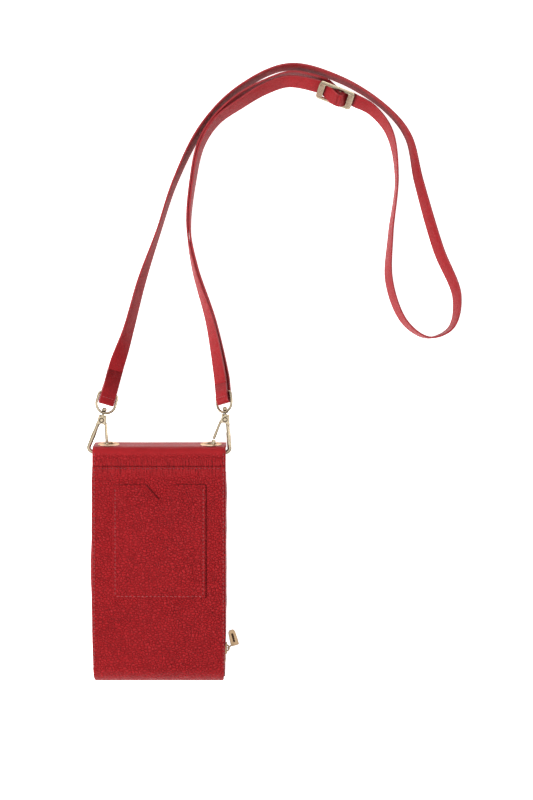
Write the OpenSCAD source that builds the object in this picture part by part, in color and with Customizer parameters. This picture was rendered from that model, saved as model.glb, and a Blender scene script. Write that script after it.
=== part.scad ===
// Phone wallet case on a long strap, in millimetres.
// The case lies on its front flap with its back panel up. +Y points to the spine
// that carries the two grommets, and the strap lies on the same surface beyond it.

/* [Case] */
// Width of the back panel
case_w = 107; // [103:1:109]
// Length from the bottom fold to the front edge of the spine
case_h = 192; // [186:1:196]
// Height of the back panel's face above the surface
case_t = 26; // [25:0.5:27]
// Thickness of the shell leather
leather_t = 1.8; // [1.6:0.1:1.9]
// Distance that the band shows above the back panel's turned top edge
band_show = 19; // [17:1:20]

/* [Card pocket] */
// Width of the raised pocket patch
pocket_w = 74.5; // [68:0.5:78]
// Length of the raised pocket patch
pocket_h = 91.5; // [86:0.5:94]
// Height that the patch stands proud of the back panel
pocket_t = 1.6; // [1.4:0.1:1.8]
// Width of the V notch at the patch's upper edge
notch_w = 21.5; // [16:0.5:24]
// Depth of the V notch
notch_d = 12.4; // [8:0.2:14]

/* [Flap] */
// Thickness of the flap leather
flap_t = 1.4; // [1.2:0.1:1.5]
// Thickness of the linings
lining_t = 0.5; // [0.4:0.1:0.6]

/* [Grommets] */
// Distance of each grommet from the middle of the spine
grommet_x = 41.3; // [40.8:0.1:41.8]
// Radius of the hole through a grommet
grommet_r = 5; // [4.8:0.1:5.2]
// Outer radius of a grommet's flange
flange_r = 8.75; // [8:0.25:9]

/* [Strap] */
// Width of the strap
strap_w = 12.5; // [12:0.1:12.6]
// Thickness of one layer of the strap
strap_t = 1.6; // [1.4:0.1:1.7]

/* [Zip] */
// Distance from the middle of the case to the teeth along the side
zip_x = 52.15; // [51.9:0.05:52.2]
// Rest position of the zip slider along the side
slider_y = -69; // [-72:1:-60]

/* [Hidden] */
$fn = 48;
// a small clearance between pieces that do not touch
gap = 0.3;
half_w = case_w / 2;
top_y = case_h / 2;
front_z = 3.2;                                 // outer face of the phone pocket's front panel
shell_r = (case_t - front_z) / 2;              // outer radius of the rolled bottom
shell_cz = front_z + shell_r;                  // height of the roll's centre
shell_cy = shell_r - top_y;                    // place of the roll's centre
panel_z = case_t - leather_t;                  // inner face of the back panel
inner_z = front_z + leather_t;                 // inner face of the front panel
front_panel_top = 72;
hook_clear_y = 80;                             // walls and gussets stop here, below the hooks

// spine: a front fold and a back fold joined by a leaning plane
spine_lean = 10;
front_fold_r = 3.6;
back_fold_r = 6;
front_fold = [top_y - front_fold_r, front_fold_r];
lean_n = [cos(spine_lean), sin(spine_lean)];
spine_reach = front_fold * lean_n + front_fold_r;
back_fold_z = panel_z - back_fold_r;
back_fold = [(spine_reach - back_fold_r - back_fold_z * lean_n[1]) / lean_n[0], back_fold_z];
band_edge = top_y - band_show;                 // the back panel's turned top edge
band_tuck = band_edge - 11;                    // the band's end under the back panel
grommet_z = 12.3;
grommet_y = (spine_reach - grommet_z * lean_n[1]) / lean_n[0];
flange_t = 1;
washer_t = 0.45;

// flap hinge line, on the outer face where the front fold ends
hinge_y = top_y - 4.6;
flap_bottom = -86;

// zip along the right side and across the top of the wallet compartment
divider_z = 14.2;
divider_t = 1.2;
zip_z = 19.6;
zip_low = -78;
zip_top = 79;
zip_left = -45;
zip_corner = 8;
tape_t = 0.5;
teeth_t = 2;
teeth_gap = 0.8;
teeth_w = 0.95;

// zip slider and its pull
slider_l = 9;
slider_w = 6.6;
plate_t = 1;
pin_r = 0.5;
bridge_w = 1.6;
slider_out = zip_x + 1.35;                     // inner face of the slider's outer plate
pull_x = slider_out + plate_t + 0.7;
pull_t = 1.3;
pull_w = 5.9;
pull_l = 12.6;
pull_lean = 14.8;
pull_centre = [4.2, 8.2];

// trigger snap hooks: swivel point, lean in plan and gate side of each
hook_z = 13;
left_swivel = [-46.2, 117.6, hook_z];
right_swivel = [53.2, 118.2, hook_z];
left_hook_lean = 10;
right_hook_lean = 7.5;
wire_r = 1.5;
leg_top = [2.4, -6];
leg_low = [6.6, -26.5];
hook_corner_r = 3.5;
nose_y = -21.05;
gate_pivot_y = -3.8;
gate_pin_r = 0.8;
gate_eye_r = 1.5;
gate_bar_r = 0.85;
gate_tip = [6.9, -20.3];
collar_r = 3.2;
ball_y = -0.6;                                 // the stud's ball foot, the point that the eye tilts about
ball_r = 1.45;
cheek_z = 2.5;
slot_z = 1.3;

// swivel eyes: lean in plan, fall towards the surface, and roll about their own axis
left_eye_turn = [-10, 15, 14];
right_eye_turn = [-12, -40, -6];
eye_r = 7.8;
eye_wire_r = 1.05;
eye_mid = 10.2;
eye_top = 19;
eye_corner_r = 3;
stud_r = 0.85;
stud_ball_r = 2;
stud_ball_y = 4.95;
fold_y = 9.3;                                  // lowest point of the strap's loop in the eye
layer_z = eye_wire_r + gap + strap_t / 2;      // each layer's distance from the eye's plane
left_end_y = 38;
right_end_y = 26;
tail_rise = [21.5, 25.9];                      // where a tail leaves the eye and where it is sewn

// strap adjuster: a flat frame with a centre bar, standing on its long edge
adj_at = [141.8, 376.9];
adj_dir = 159;
adj_twist = 130;
adj_l = 30;
adj_w = 17.5;
adj_t = 2.4;
adj_end = 5.2;
adj_rail = 2.2;
adj_bar_r = 1.2;
adj_bar_s = -3;
loop_tail = 15;
loop_lean = 30;
adj_lift = 3.7;                                 // keeps the loop round the bar clear of the surface

// vectors
function unit(v) = v / norm(v);
function turn_x(v, a) = [v[0], v[1] * cos(a) - v[2] * sin(a), v[1] * sin(a) + v[2] * cos(a)];
function turn_y(v, a) = [v[0] * cos(a) + v[2] * sin(a), v[1], v[2] * cos(a) - v[0] * sin(a)];
function turn_z(v, a) = [v[0] * cos(a) - v[1] * sin(a), v[0] * sin(a) + v[1] * cos(a), v[2]];
function arc(c, r, a0, a1, n) =
    [for (i = [0:n]) let (a = a0 + (a1 - a0) * i / n) c + r * [cos(a), sin(a)]];

// a point given in an eye's own frame: x across, y along the swivel axis, z out of its plane
function eye_turned(turn, p) = turn_z(turn_x(turn_y(p, turn[1]), turn[0]), -turn[2]);
function eye_base(swivel, lean, turn) =
    swivel + turn_z([0, ball_y, 0], -lean) - eye_turned(turn, [0, ball_y, 0]);
function eye_point(base, turn, p) = base + eye_turned(turn, p);
left_base = eye_base(left_swivel, left_hook_lean, left_eye_turn);
right_base = eye_base(right_swivel, right_hook_lean, right_eye_turn);

// section frame of the strap: along, across its width, and out of its face
function side_of(t) = unit(cross([0, 0, 1], t));
function width_of(t, a) = cos(a) * side_of(t) + sin(a) * cross(t, side_of(t));
function face_of(t, a) = -sin(a) * side_of(t) + cos(a) * cross(t, side_of(t));

// height at which a strap of this twist stands on the surface
function rest_z(a) = (strap_w * abs(sin(a)) + strap_t * abs(cos(a))) / 2;
function on_floor(p) = [p[0], p[1], rest_z(p[3]) + p[2], p[3]];

adj_along = [cos(adj_dir), sin(adj_dir), 0];
adj_across = width_of(adj_along, adj_twist);
adj_face = face_of(adj_along, adj_twist);
adj_z = adj_w / 2 * abs(adj_across[2]) + adj_t / 2 * abs(adj_face[2]) + adj_lift;
adj_centre = [adj_at[0], adj_at[1], adj_z];
// a path point in the adjuster's frame; lean is the layer's slope there, out of the frame's plane
function twist_at(lean) =
    let (t = cos(lean) * adj_along + sin(lean) * adj_face, side = side_of(t))
    atan2(adj_across * cross(t, side), adj_across * side);
function adj_point(s, n, lean = 0) =
    let (p = adj_centre + s * adj_along + n * adj_face) [p[0], p[1], p[2], twist_at(lean)];

// the strap's route from the left clasp over the top and round the far loop to the adjuster:
// x, y, height above resting on the surface, twist from lying flat
outer_route = [
    [-27, 184, 1, 50], [-15, 228, 0, 65], [-2, 266, 0, 80], [12, 308, 0, 78],
    [34, 351.5, 0, 72], [64, 383, 0, 77], [104, 401, 0, 78], [145, 391, 0, 78],
    [182, 368, 0, 80], [201, 345, 0, 74], [210, 308, 0, 62], [226, 253, 0, 55],
    [241, 214, 0, 64], [236, 189, 0, 78], [218, 181, 0, 90], [199, 193, 0, 104],
    [186, 226, 0, 112], [187, 264, 0, 102], [192, 312, 0, 95], [186, 348, 0, 110],
    [172, 366, 0.5, 122]];
// from the adjuster back down to the right clasp
inner_route = [
    [104, 389, 1.5, 126], [85, 383, 1.2, 124], [65, 371, 1, 118], [46, 357, 0.8, 110],
    [34, 338, 0.6, 103], [27, 306, 0.3, 98], [24, 270, 0, 90], [29, 238, 0, 78],
    [42, 194, 1, 58]];
// the doubled layer: from the adjuster's bar, beside the run above, until the two lie together
return_route = [[124, 392.5, 0, 100], [106, 396, 0, 92], [82, 387.5, 0, 96], [63, 375.5, 0.6, 108]];
first_shared = 3;                              // the layers lie together from this inner point on

bar_n = adj_bar_r + 2 * gap + strap_t * 1.5;
under_n = adj_t / 2 + gap + strap_t / 2;
straight = 5;                                  // each layer runs straight this far out of a sewn end
function left_at(y, z) = concat(eye_point(left_base, left_eye_turn, [0, y, z]), left_eye_turn[1]);
function right_at(y, z) = concat(eye_point(right_base, right_eye_turn, [0, y, z]), -right_eye_turn[1]);
long_path = concat(
    [left_at(left_end_y, layer_z), left_at(left_end_y + straight, layer_z)],
    [for (p = outer_route) on_floor(p)],
    [adj_point(-17.5, under_n + 0.3), adj_point(-10.3, under_n + 1, -28),
     adj_point(adj_bar_s - 2.5, -bar_n, -38), adj_point(adj_bar_s + 2, -bar_n, 24),
     adj_point(10.6, under_n + 0.5, 20), adj_point(17.5, under_n + 0.3)],
    [for (p = inner_route) on_floor(p)],
    [right_at(right_end_y + straight, -layer_z), right_at(right_end_y, -layer_z)]);

// Catmull-Rom point and direction between path points i and i + 1
function at(path, i) = path[max(0, min(len(path) - 1, i))];
function along(path, i, u) =
    let (a = at(path, i - 1), b = at(path, i), c = at(path, i + 1), d = at(path, i + 2))
    0.5 * (2 * b + (c - a) * u + (2 * a - 5 * b + 4 * c - d) * u * u
           + (3 * b - a - 3 * c + d) * u * u * u);
function slope(path, i, u) =
    let (p = along(path, i, u + 0.01) - along(path, i, u - 0.01)) unit([p[0], p[1], p[2]]);
// one ring at each point, and one more where the path turns by more than 14 degrees to the next
function steps(path, i) = slope(path, i, 0) * slope(path, i + 1, 0) < cos(14) ? 2 : 1;
function rings(path) =
    [for (i = [0:len(path) - 2], n = steps(path, i), k = [0:n - 1])
        [along(path, i, k / n), slope(path, i, k / n)],
     [at(path, len(path) - 1), slope(path, len(path) - 2, 1)]];

// the return layer follows the long run at one layer's distance, out of its face
layer_step = strap_t + 0.35;
function beside(path, i) =
    let (t = slope(path, i, 0), p = at(path, i), n = face_of(t, p[3]))
    [p[0] + layer_step * n[0], p[1] + layer_step * n[1], p[2] + layer_step * n[2], p[3]];
last = len(long_path) - 1;
shared_from = last - 1 - len(inner_route) + first_shared;
function tail_at(s) = adj_point(adj_bar_s + s * cos(loop_lean), s * sin(loop_lean), loop_lean);
return_path = concat(
    [tail_at(loop_tail), tail_at(loop_tail + 3)],
    [for (p = return_route) on_floor(p)],
    [for (i = [shared_from:last - 2]) beside(long_path, i)],
    [right_at(right_end_y + straight, layer_z), right_at(right_end_y, layer_z)]);

strap_edge = 0.35;
half_section = [strap_w / 2, strap_t / 2];
section = [[half_section[0], half_section[1] - strap_edge], [half_section[0] - strap_edge, half_section[1]],
           [strap_edge - half_section[0], half_section[1]], [-half_section[0], half_section[1] - strap_edge],
           [-half_section[0], strap_edge - half_section[1]], [strap_edge - half_section[0], -half_section[1]],
           [half_section[0] - strap_edge, -half_section[1]], [half_section[0], strap_edge - half_section[1]]];

red = "firebrick";
brass = "khaki";
cloth = "darkred";

// extrudes an outline drawn in the side view (y, z) across the width x0 to x1
module across(x0, x1) {
    translate([x0, 0, 0]) rotate([90, 0, 90]) linear_extrude(x1 - x0) children();
}

// a rectangle with round corners, drawn exactly
module round_rect(x0, x1, y0, y1, r) {
    translate([x0 + r, y0]) square([x1 - x0 - 2 * r, y1 - y0]);
    translate([x0, y0 + r]) square([x1 - x0, y1 - y0 - 2 * r]);
    for (x = [x0 + r, x1 - r], y = [y0 + r, y1 - r]) translate([x, y]) circle(r);
}

// one sheet of leather: back panel, rolled bottom and phone pocket front
module shell_wrap() {
    thumb_r = 11;
    color(red) intersection() {
        union() {
            across(-half_w, half_w) {
                translate([shell_cy, panel_z]) square([band_edge - shell_cy, leather_t]);
                translate([shell_cy, front_z]) square([front_panel_top - shell_cy, leather_t]);
                translate([shell_cy, shell_cz]) intersection() {
                    difference() {
                        circle(shell_r);
                        circle(shell_r - leather_t);
                    }
                    translate([-2 * shell_r, -2 * shell_r]) square([2 * shell_r, 4 * shell_r]);
                }
            }
        }
        linear_extrude(2 * case_t) round_rect(-half_w, half_w, -top_y, top_y, 3.5);
        difference() {
            linear_extrude(2 * case_t) square(4 * case_h, center = true);
            translate([0, front_panel_top, 0]) cylinder(r = thumb_r, h = 2 * inner_z, center = true);
        }
    }
}

// band under the back panel's edge, back fold, leaning spine and front fold
module spine_band() {
    inner = leather_t;
    color(red) difference() {
        across(-half_w, half_w) polygon(concat(
            [[band_tuck, panel_z]], arc(back_fold, back_fold_r, 90, spine_lean, 8),
            arc(front_fold, front_fold_r, spine_lean, -90, 10), [[hinge_y + gap, 0]],
            [[hinge_y + gap, inner]], arc(front_fold, front_fold_r - inner, -90, spine_lean, 10),
            arc(back_fold, back_fold_r - inner, spine_lean, 90, 8), [[band_tuck, panel_z - inner]]));
        for (side = [-1, 1]) at_grommet(side) cylinder(r = grommet_r + 0.8, h = 12, center = true);
    }
}

// places children on the spine with z out of its face
module at_grommet(side) {
    translate([side * grommet_x, grommet_y, grommet_z]) rotate([spine_lean - 90, 0, 0]) children();
}

module grommet(side) {
    color(brass) at_grommet(side) rotate_extrude() {
        difference() {
            union() {
                translate([grommet_r, 0]) square([flange_r - grommet_r - 0.5, flange_t]);
                translate([flange_r - flange_t, 0]) intersection() {
                    circle(flange_t);
                    square(flange_t);
                }
                translate([grommet_r, -leather_t - washer_t]) square([0.7, leather_t + washer_t]);
            }
            translate([grommet_r - 0.2, flange_t + 0.2]) circle(0.5);
        }
    }
}

module grommet_washer(side) {
    color(brass) at_grommet(side) translate([0, 0, -leather_t - washer_t]) difference() {
        cylinder(r = flange_r - 1.45, h = washer_t);
        cylinder(r = grommet_r + 0.75, h = 3, center = true);
    }
}

// raised patch on the back with a thin card slot open at its notched upper edge
module card_pocket() {
    middle = 0.4;
    top = 62.8;
    seam = 3.2;
    color(red) translate([middle, 0, case_t]) difference() {
        linear_extrude(pocket_t) difference() {
            round_rect(-pocket_w / 2, pocket_w / 2, top - pocket_h, top, 2.4);
            polygon([[-notch_w / 2, top + 1], [0, top - notch_d], [notch_w / 2, top + 1]]);
        }
        translate([seam - pocket_w / 2, top - pocket_h + seam, -1])
            cube([pocket_w - 2 * seam, pocket_h, 1.5]);
    }
}

module divider() {
    color(cloth) translate([1 - half_w, shell_cy - 8.6, divider_z])
        cube([case_w - 4, hook_clear_y - shell_cy + 8.6 - 2, divider_t]);
}

// space between the panels and inside the rolled bottom
module cavity() {
    clear = 0.1;
    across(-2 * case_w, 2 * case_w) {
        translate([shell_cy, inner_z + clear])
            square([hook_clear_y - shell_cy, panel_z - inner_z - 2 * clear]);
        translate([shell_cy, shell_cz]) circle(shell_r - leather_t - clear);
    }
}

// folded side wall that bows out beyond the panels' edges
module gusset(side, z0, z1, top, bow) {
    wall = 1;
    half = (z1 - z0) / 2;
    radius = (half * half + bow * bow) / (2 * bow);
    color(red) intersection() {
        translate([side * (half_w - 1), 0, 0]) rotate([90, 0, 0])
            linear_extrude(case_h, center = true) intersection() {
            translate([side * (bow - radius), (z0 + z1) / 2]) difference() {
                circle(radius);
                circle(radius - wall);
            }
            translate([-case_t / 2 + side * case_t / 2, z0]) square([case_t, z1 - z0]);
        }
        cavity();
        difference() {
            translate([-case_w, shell_cy - 8, 0]) cube([2 * case_w, top - shell_cy + 8, case_t]);
            translate([-case_w, band_tuck - 0.2, panel_z - leather_t - 0.1])
                cube([2 * case_w, case_h, case_t]);
        }
    }
}

module lining_sheet(x, y0, y1, z, corner) {
    color(cloth) translate([0, 0, z]) linear_extrude(lining_t) round_rect(-x, x, y0, y1, corner);
}

module card_slot(i) {
    slot_top = 62 - 13 * i;
    color(cloth) translate([0, 0, divider_z + divider_t + 0.1 + (i - 1) * (lining_t + 0.1)])
        linear_extrude(lining_t) round_rect(-42, 42, -80, slot_top, 3);
}

// L outline in plan, up the right side and across the top, of thickness t about the teeth line
module zip_run(t) {
    c = [zip_x - zip_corner, zip_top - zip_corner];
    polygon(concat(
        [[zip_x + t / 2, zip_low]], arc(c, zip_corner + t / 2, 0, 90, 10),
        [[zip_left, zip_top + t / 2], [zip_left, zip_top - t / 2]],
        arc(c, zip_corner - t / 2, 90, 0, 10), [[zip_x - t / 2, zip_low]]));
}

module zip_tape(z0, z1) {
    color(cloth) translate([0, 0, z0]) linear_extrude(z1 - z0) zip_run(tape_t);
}

module zip_teeth(z0) {
    color(brass) translate([0, 0, z0]) linear_extrude(teeth_w) zip_run(teeth_t);
}

module zip_stop(x, y, dx, dy) {
    color(brass) translate([x - dx / 2, y - dy / 2, zip_z - 1.4]) cube([dx, dy, 2.8]);
}

// slider body: two plates joined by a thin post that runs between the rows of teeth
module zip_slider() {
    inner_x = zip_x - 1.35 - plate_t;
    foot = 0.8;
    color(brass) translate([0, slider_y, zip_z]) {
        translate([inner_x, -slider_l / 2, -slider_w / 2]) cube([plate_t, slider_l, slider_w]);
        translate([slider_out, -slider_l / 2, -slider_w / 2]) cube([plate_t, slider_l, slider_w]);
        translate([inner_x, slider_l / 2 - 2, -0.25]) cube([slider_out - inner_x + 0.2, 2, 0.5]);
        for (side = [-1, 1]) translate([slider_out - 0.6, -slider_l / 2, side * (slider_w / 2 - 0.4) - 0.4])
            cube([0.8, slider_l, 0.8]);
        difference() {
            translate([slider_out + plate_t - 0.1, -2.6, -bridge_w / 2]) cube([2.3, 5.2, bridge_w]);
            translate([slider_out + plate_t, foot - 2.6, -bridge_w])
                cube([1.4, 5.2 - 2 * foot, 2 * bridge_w]);
        }
    }
}

// pull: a pin under the bridge, two arms, a neck and a slotted plate
module zip_pull() {
    arm_z = bridge_w / 2 + 0.2;
    arm_w = 0.6;
    neck = [3.4, 2.6];
    heading = atan2(neck[1], neck[0]);
    color(brass) translate([pull_x, slider_y, zip_z]) {
        cylinder(r = pin_r, h = 2 * (arm_z + arm_w), center = true);
        for (side = [-1, 1]) translate([0, 0, side * (arm_z + arm_w / 2)]) rotate([0, 0, heading])
            translate([0, -pin_r, -arm_w / 2]) cube([norm(neck), 2 * pin_r, arm_w]);
        rotate([0, 0, heading]) translate([3.25, -1.1, -arm_z - arm_w])
            cube([1.35, 2.2, 2 * (arm_z + arm_w)]);
        translate([0, 0, -pull_t / 2]) linear_extrude(pull_t) difference() {
            translate(pull_centre) rotate(pull_lean) difference() {
                round_rect(-pull_w / 2, pull_w / 2, -pull_l / 2, pull_l / 2, 1.2);
                round_rect(-0.85, 0.85, -3.4, 3.4, 0.8);
            }
        }
    }
}

module front_flap() {
    color(red) linear_extrude(flap_t) round_rect(-half_w + 0.5, half_w - 0.5, flap_bottom, hinge_y, 0.4);
}

module flap_lining() {
    color(cloth) translate([0, 0, flap_t])
        linear_extrude(lining_t) round_rect(3 - half_w, half_w - 3, flap_bottom + 3, hinge_y - 2, 4);
}

// one half of the thin magnetic snap, a disc with a round dimple
module snap(z) {
    color(brass) translate([0, -68, z]) difference() {
        cylinder(r = 7, h = 0.55);
        translate([0, 0, 0.35]) cylinder(r = 2.2, h = 1);
    }
}

module at_hook(swivel, lean) {
    translate(swivel) rotate([0, 0, -lean]) children();
}

// a straight round wire between two points of the hook's plane
module wire(a, b, r) {
    d = b - a;
    translate([a[0], a[1], 0]) rotate([0, 0, atan2(d[1], d[0])]) rotate([0, 90, 0])
        cylinder(r = r, h = norm(d));
}

// a bent round wire, an arc of a torus lying in the hook's plane
module bend(c, radius, a0, a1, r) {
    translate([c[0], c[1], 0]) rotate([0, 0, a0]) rotate_extrude(angle = a1 - a0)
        translate([radius, 0]) circle(r);
}

// hook body: collar, forked shield, outer leg, bottom bend and nose; gate_side is -1 or 1
module hook(swivel, lean, gate_side) {
    at_hook(swivel, lean) mirror([gate_side > 0 ? 1 : 0, 0, 0]) hook_shape();
}

// drawn with the outer leg at +x and the gate's side at -x
module hook_shape() {
    low = leg_low[1];
    base = low - hook_corner_r;
    out_bend = [leg_low[0] - hook_corner_r, low];
    nose_bend = [hook_corner_r - gate_tip[0], low];
    color(brass) {
        difference() {
            union() {
                translate([0, -1.2, 0]) rotate([-90, 0, 0]) cylinder(r = collar_r, h = 1.9);
                translate([0, 0, -cheek_z]) linear_extrude(2 * cheek_z)
                    polygon([[-2.9, -0.8], [2.9, -0.8], [3.5, -5], [3.9, -8.2],
                             [0, -6.6], [-3.3, -7], [-3.5, -5]]);
            }
            translate([0, ball_y, 0]) sphere(r = ball_r + 0.15);
            rotate([-90, 0, 0]) cylinder(r = 1.33, h = 3);
            translate([-6, -8.6, -slot_z]) cube([12, 6.5, 2 * slot_z]);
            translate([0, gate_pivot_y, 0]) cylinder(r = gate_pin_r + 0.02, h = 9, center = true);
        }
        difference() {
            wire(leg_top, leg_low, wire_r);
            translate([0, gate_pivot_y, 0]) cylinder(r = gate_eye_r + 0.7, h = 2 * slot_z, center = true);
        }
        translate([leg_low[0], low, 0]) sphere(r = wire_r);
        bend(out_bend, hook_corner_r, -90, 0, wire_r);
        wire([out_bend[0], base], [nose_bend[0], base], wire_r);
        bend(nose_bend, hook_corner_r, 180, 270, wire_r);
        wire([-gate_tip[0], low], [-gate_tip[0], nose_y], wire_r);
    }
}

// a straight strip with round ends between two points, drawn flat
module strip(a, b, r) {
    d = b - a;
    translate(a) rotate(atan2(d[1], d[0])) translate([0, -r]) square([norm(d), 2 * r]);
    for (p = [a, b]) translate(p) circle(r);
}

// sprung gate: an eye on the pin and a slim bar that closes on the nose
module gate(swivel, lean, gate_side) {
    pivot = [0, gate_pivot_y];
    shoulder = [gate_side * 3.4, -5.6];
    tip = [gate_side * gate_tip[0], gate_tip[1] + gate_bar_r];
    color(brass) at_hook(swivel, lean) linear_extrude(2 * gate_bar_r, center = true) difference() {
        union() {
            translate(pivot) circle(gate_eye_r);
            strip(pivot, shoulder, gate_bar_r);
            strip(shoulder, tip, gate_bar_r);
        }
        translate(pivot) circle(gate_pin_r + 0.05);
    }
}

module gate_pin(swivel, lean) {
    color(brass) at_hook(swivel, lean) translate([0, gate_pivot_y, 0]) {
        cylinder(r = gate_pin_r, h = 2 * cheek_z + 0.6, center = true);
        for (side = [-1, 1]) translate([0, 0, side * (cheek_z + 0.2)])
            cylinder(r = 1.4, h = 0.35, center = true);
    }
}

// torsion spring beside the gate, drawn as one turn
module gate_spring(swivel, lean) {
    color("silver") at_hook(swivel, lean) translate([0, gate_pivot_y, slot_z - 0.15])
        rotate_extrude() translate([1.25, 0]) circle(0.12);
}

module at_eye(base, turn) {
    translate(base) rotate([0, 0, -turn[2]]) rotate([turn[0], 0, 0]) rotate([0, turn[1], 0]) children();
}

// swivel stud: ball foot inside the collar, shaft through the eye's boss and a ball head
module stud(base, turn) {
    color(brass) at_eye(base, turn) {
        translate([0, ball_y, 0]) sphere(r = ball_r);
        translate([0, ball_y, 0]) rotate([-90, 0, 0]) cylinder(r = stud_r, h = stud_ball_y - ball_y);
        translate([0, stud_ball_y, 0]) sphere(r = stud_ball_r);
    }
}

// swivel eye: boss on the stud and a loop for the strap
module eye(base, turn) {
    side_x = eye_r;
    corner = [eye_r - eye_corner_r, eye_top - eye_corner_r];
    color(brass) at_eye(base, turn) difference() {
        union() {
            translate([0, 1.7, 0]) rotate([-90, 0, 0]) cylinder(r = 2.4, h = 1.7);
            bend([0, eye_mid], eye_r, 180, 360, eye_wire_r);
            for (s = [-1, 1]) {
                wire([s * side_x, eye_mid], [s * side_x, corner[1]], eye_wire_r);
                bend([s * corner[0], corner[1]], eye_corner_r, s > 0 ? 0 : 90, s > 0 ? 90 : 180, eye_wire_r);
            }
            wire([-corner[0], eye_top], [corner[0], eye_top], eye_wire_r);
        }
        rotate([-90, 0, 0]) cylinder(r = stud_r + 0.05, h = 9, center = true);
        translate([0, stud_ball_y, 0]) sphere(r = stud_ball_r + 0.1);
    }
}

// the strap's end doubled through the eye and sewn back on itself
// with a tail, the lower layer ends there; it rises past the eye's top bar and lies against the upper one
module strap_end(base, turn, end_y, tail = false) {
    outer_r = layer_z + strap_t / 2;
    centre_y = fold_y + outer_r;
    low = -outer_r;
    sewn = tail ? layer_z - 1.5 * strap_t + 0.02 : low;
    color(red) at_eye(base, turn) across(-strap_w / 2, strap_w / 2) {
        intersection() {
            translate([centre_y, 0]) difference() {
                circle(outer_r);
                circle(outer_r - strap_t);
            }
            translate([fold_y - 1, -2 * outer_r]) square([outer_r + 1, 4 * outer_r]);
        }
        translate([centre_y, layer_z - strap_t / 2]) square([end_y - centre_y, strap_t]);
        polygon([[centre_y, low], [tail_rise[0], low], [tail_rise[1], sewn], [end_y, sewn],
                 [end_y, sewn + strap_t], [tail_rise[1] - 0.25, sewn + strap_t],
                 [tail_rise[0] - 0.25, low + strap_t], [centre_y, low + strap_t]]);
    }
}

module at_adjuster() {
    multmatrix([[adj_along[0], adj_across[0], adj_face[0], adj_centre[0]],
                [adj_along[1], adj_across[1], adj_face[1], adj_centre[1]],
                [adj_along[2], adj_across[2], adj_face[2], adj_centre[2]],
                [0, 0, 0, 1]]) children();
}

module adjuster_frame() {
    inner_x = adj_l / 2 - adj_end;
    inner_y = adj_w / 2 - adj_rail;
    color(brass) at_adjuster() difference() {
        translate([0, 0, -adj_t / 2]) linear_extrude(adj_t) difference() {
            round_rect(-adj_l / 2, adj_l / 2, -adj_w / 2, adj_w / 2, 2.6);
            round_rect(-inner_x, inner_x, -inner_y, inner_y, 1);
        }
        translate([adj_bar_s, 0, 0]) rotate([90, 0, 0])
            cylinder(r = adj_bar_r - 0.4, h = adj_w - 1, center = true);
    }
}

module adjuster_bar() {
    color(brass) at_adjuster() translate([adj_bar_s, 0, 0]) rotate([90, 0, 0]) {
        cylinder(r = adj_bar_r, h = adj_w - 2 * adj_rail - 0.04, center = true);
        cylinder(r = adj_bar_r - 0.42, h = adj_w - 1.2, center = true);
    }
}

// the strap's far end wrapped round the adjuster's bar and sewn
module strap_bar_loop() {
    wrap_r = adj_bar_r + 0.15;
    tail_t = 2 * strap_t + 0.1;
    color(red) at_adjuster() rotate([90, 0, 0]) linear_extrude(strap_w, center = true)
        translate([adj_bar_s, 0]) difference() {
            union() {
                circle(wrap_r + strap_t);
                rotate(loop_lean) translate([0, -tail_t / 2]) square([loop_tail, tail_t]);
            }
            circle(wrap_r);
        }
}

// flat strap of eight-sided section swept along a path of points that carry a twist
module swept(path) {
    ring = rings(path);
    sides = len(section);
    points = [for (r = ring, c = section)
        [r[0][0], r[0][1], r[0][2]] + c[0] * width_of(r[1], r[0][3]) + c[1] * face_of(r[1], r[0][3])];
    skin = [for (i = [0:len(ring) - 2], k = [0:sides - 1])
        let (a = i * sides + k, b = i * sides + (k + 1) % sides)
            each [[a, b, a + sides], [b, b + sides, a + sides]]];
    caps = [[for (k = [sides - 1:-1:0]) k], [for (k = [0:sides - 1]) (len(ring) - 1) * sides + k]];
    color(red) polyhedron(points = points, faces = concat(skin, caps), convexity = 8);
}

module strap() { swept(long_path); }
module strap_return() { swept(return_path); }

shell_wrap();
spine_band();
card_pocket();
divider();
gusset(-1, inner_z, divider_z - 0.1, hook_clear_y - 6, 2.6);  // left_phone_gusset
gusset(-1, divider_z + divider_t + 0.1, panel_z, hook_clear_y, 2.4);  // left_wallet_gusset
gusset(1, inner_z, divider_z - 0.1, hook_clear_y - 6, 1.6);  // right_phone_gusset
lining_sheet(half_w - 5, shell_cy, 54, inner_z + 0.05, 3);  // phone_lining
lining_sheet(half_w - 5, shell_cy, band_tuck - 2, panel_z - lining_t - 0.05, 3);  // wallet_lining
card_slot(1);  // card_slot_1
card_slot(2);  // card_slot_2
card_slot(3);  // card_slot_3
zip_tape(zip_z + teeth_gap / 2 + teeth_w + 0.05, panel_z - leather_t - 0.1);  // zip_tape_back
zip_tape(divider_z + divider_t + 0.1, zip_z - teeth_gap / 2 - teeth_w - 0.05);  // zip_tape_front
zip_teeth(zip_z + teeth_gap / 2);  // zip_teeth_back
zip_teeth(zip_z - teeth_gap / 2 - teeth_w);  // zip_teeth_front
zip_stop(zip_x, zip_low - 1.1, 2.6, 1.8);  // zip_bottom_stop
zip_stop(zip_left - 1.1, zip_top, 1.8, 2.6);  // zip_top_stop
snap(front_z - 0.55);  // snap_socket
grommet(-1);  // left_grommet
grommet_washer(-1);  // left_grommet_washer
grommet(1);  // right_grommet
grommet_washer(1);  // right_grommet_washer
front_flap();
flap_lining();
snap(flap_t + lining_t);  // snap_cap
zip_slider();
zip_pull();
hook(left_swivel, left_hook_lean, 1);  // left_hook
gate(left_swivel, left_hook_lean, 1);  // left_gate
gate_pin(left_swivel, left_hook_lean);  // left_gate_pin
gate_spring(left_swivel, left_hook_lean);  // left_gate_spring
stud(left_base, left_eye_turn);  // left_stud
eye(left_base, left_eye_turn);  // left_eye
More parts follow.
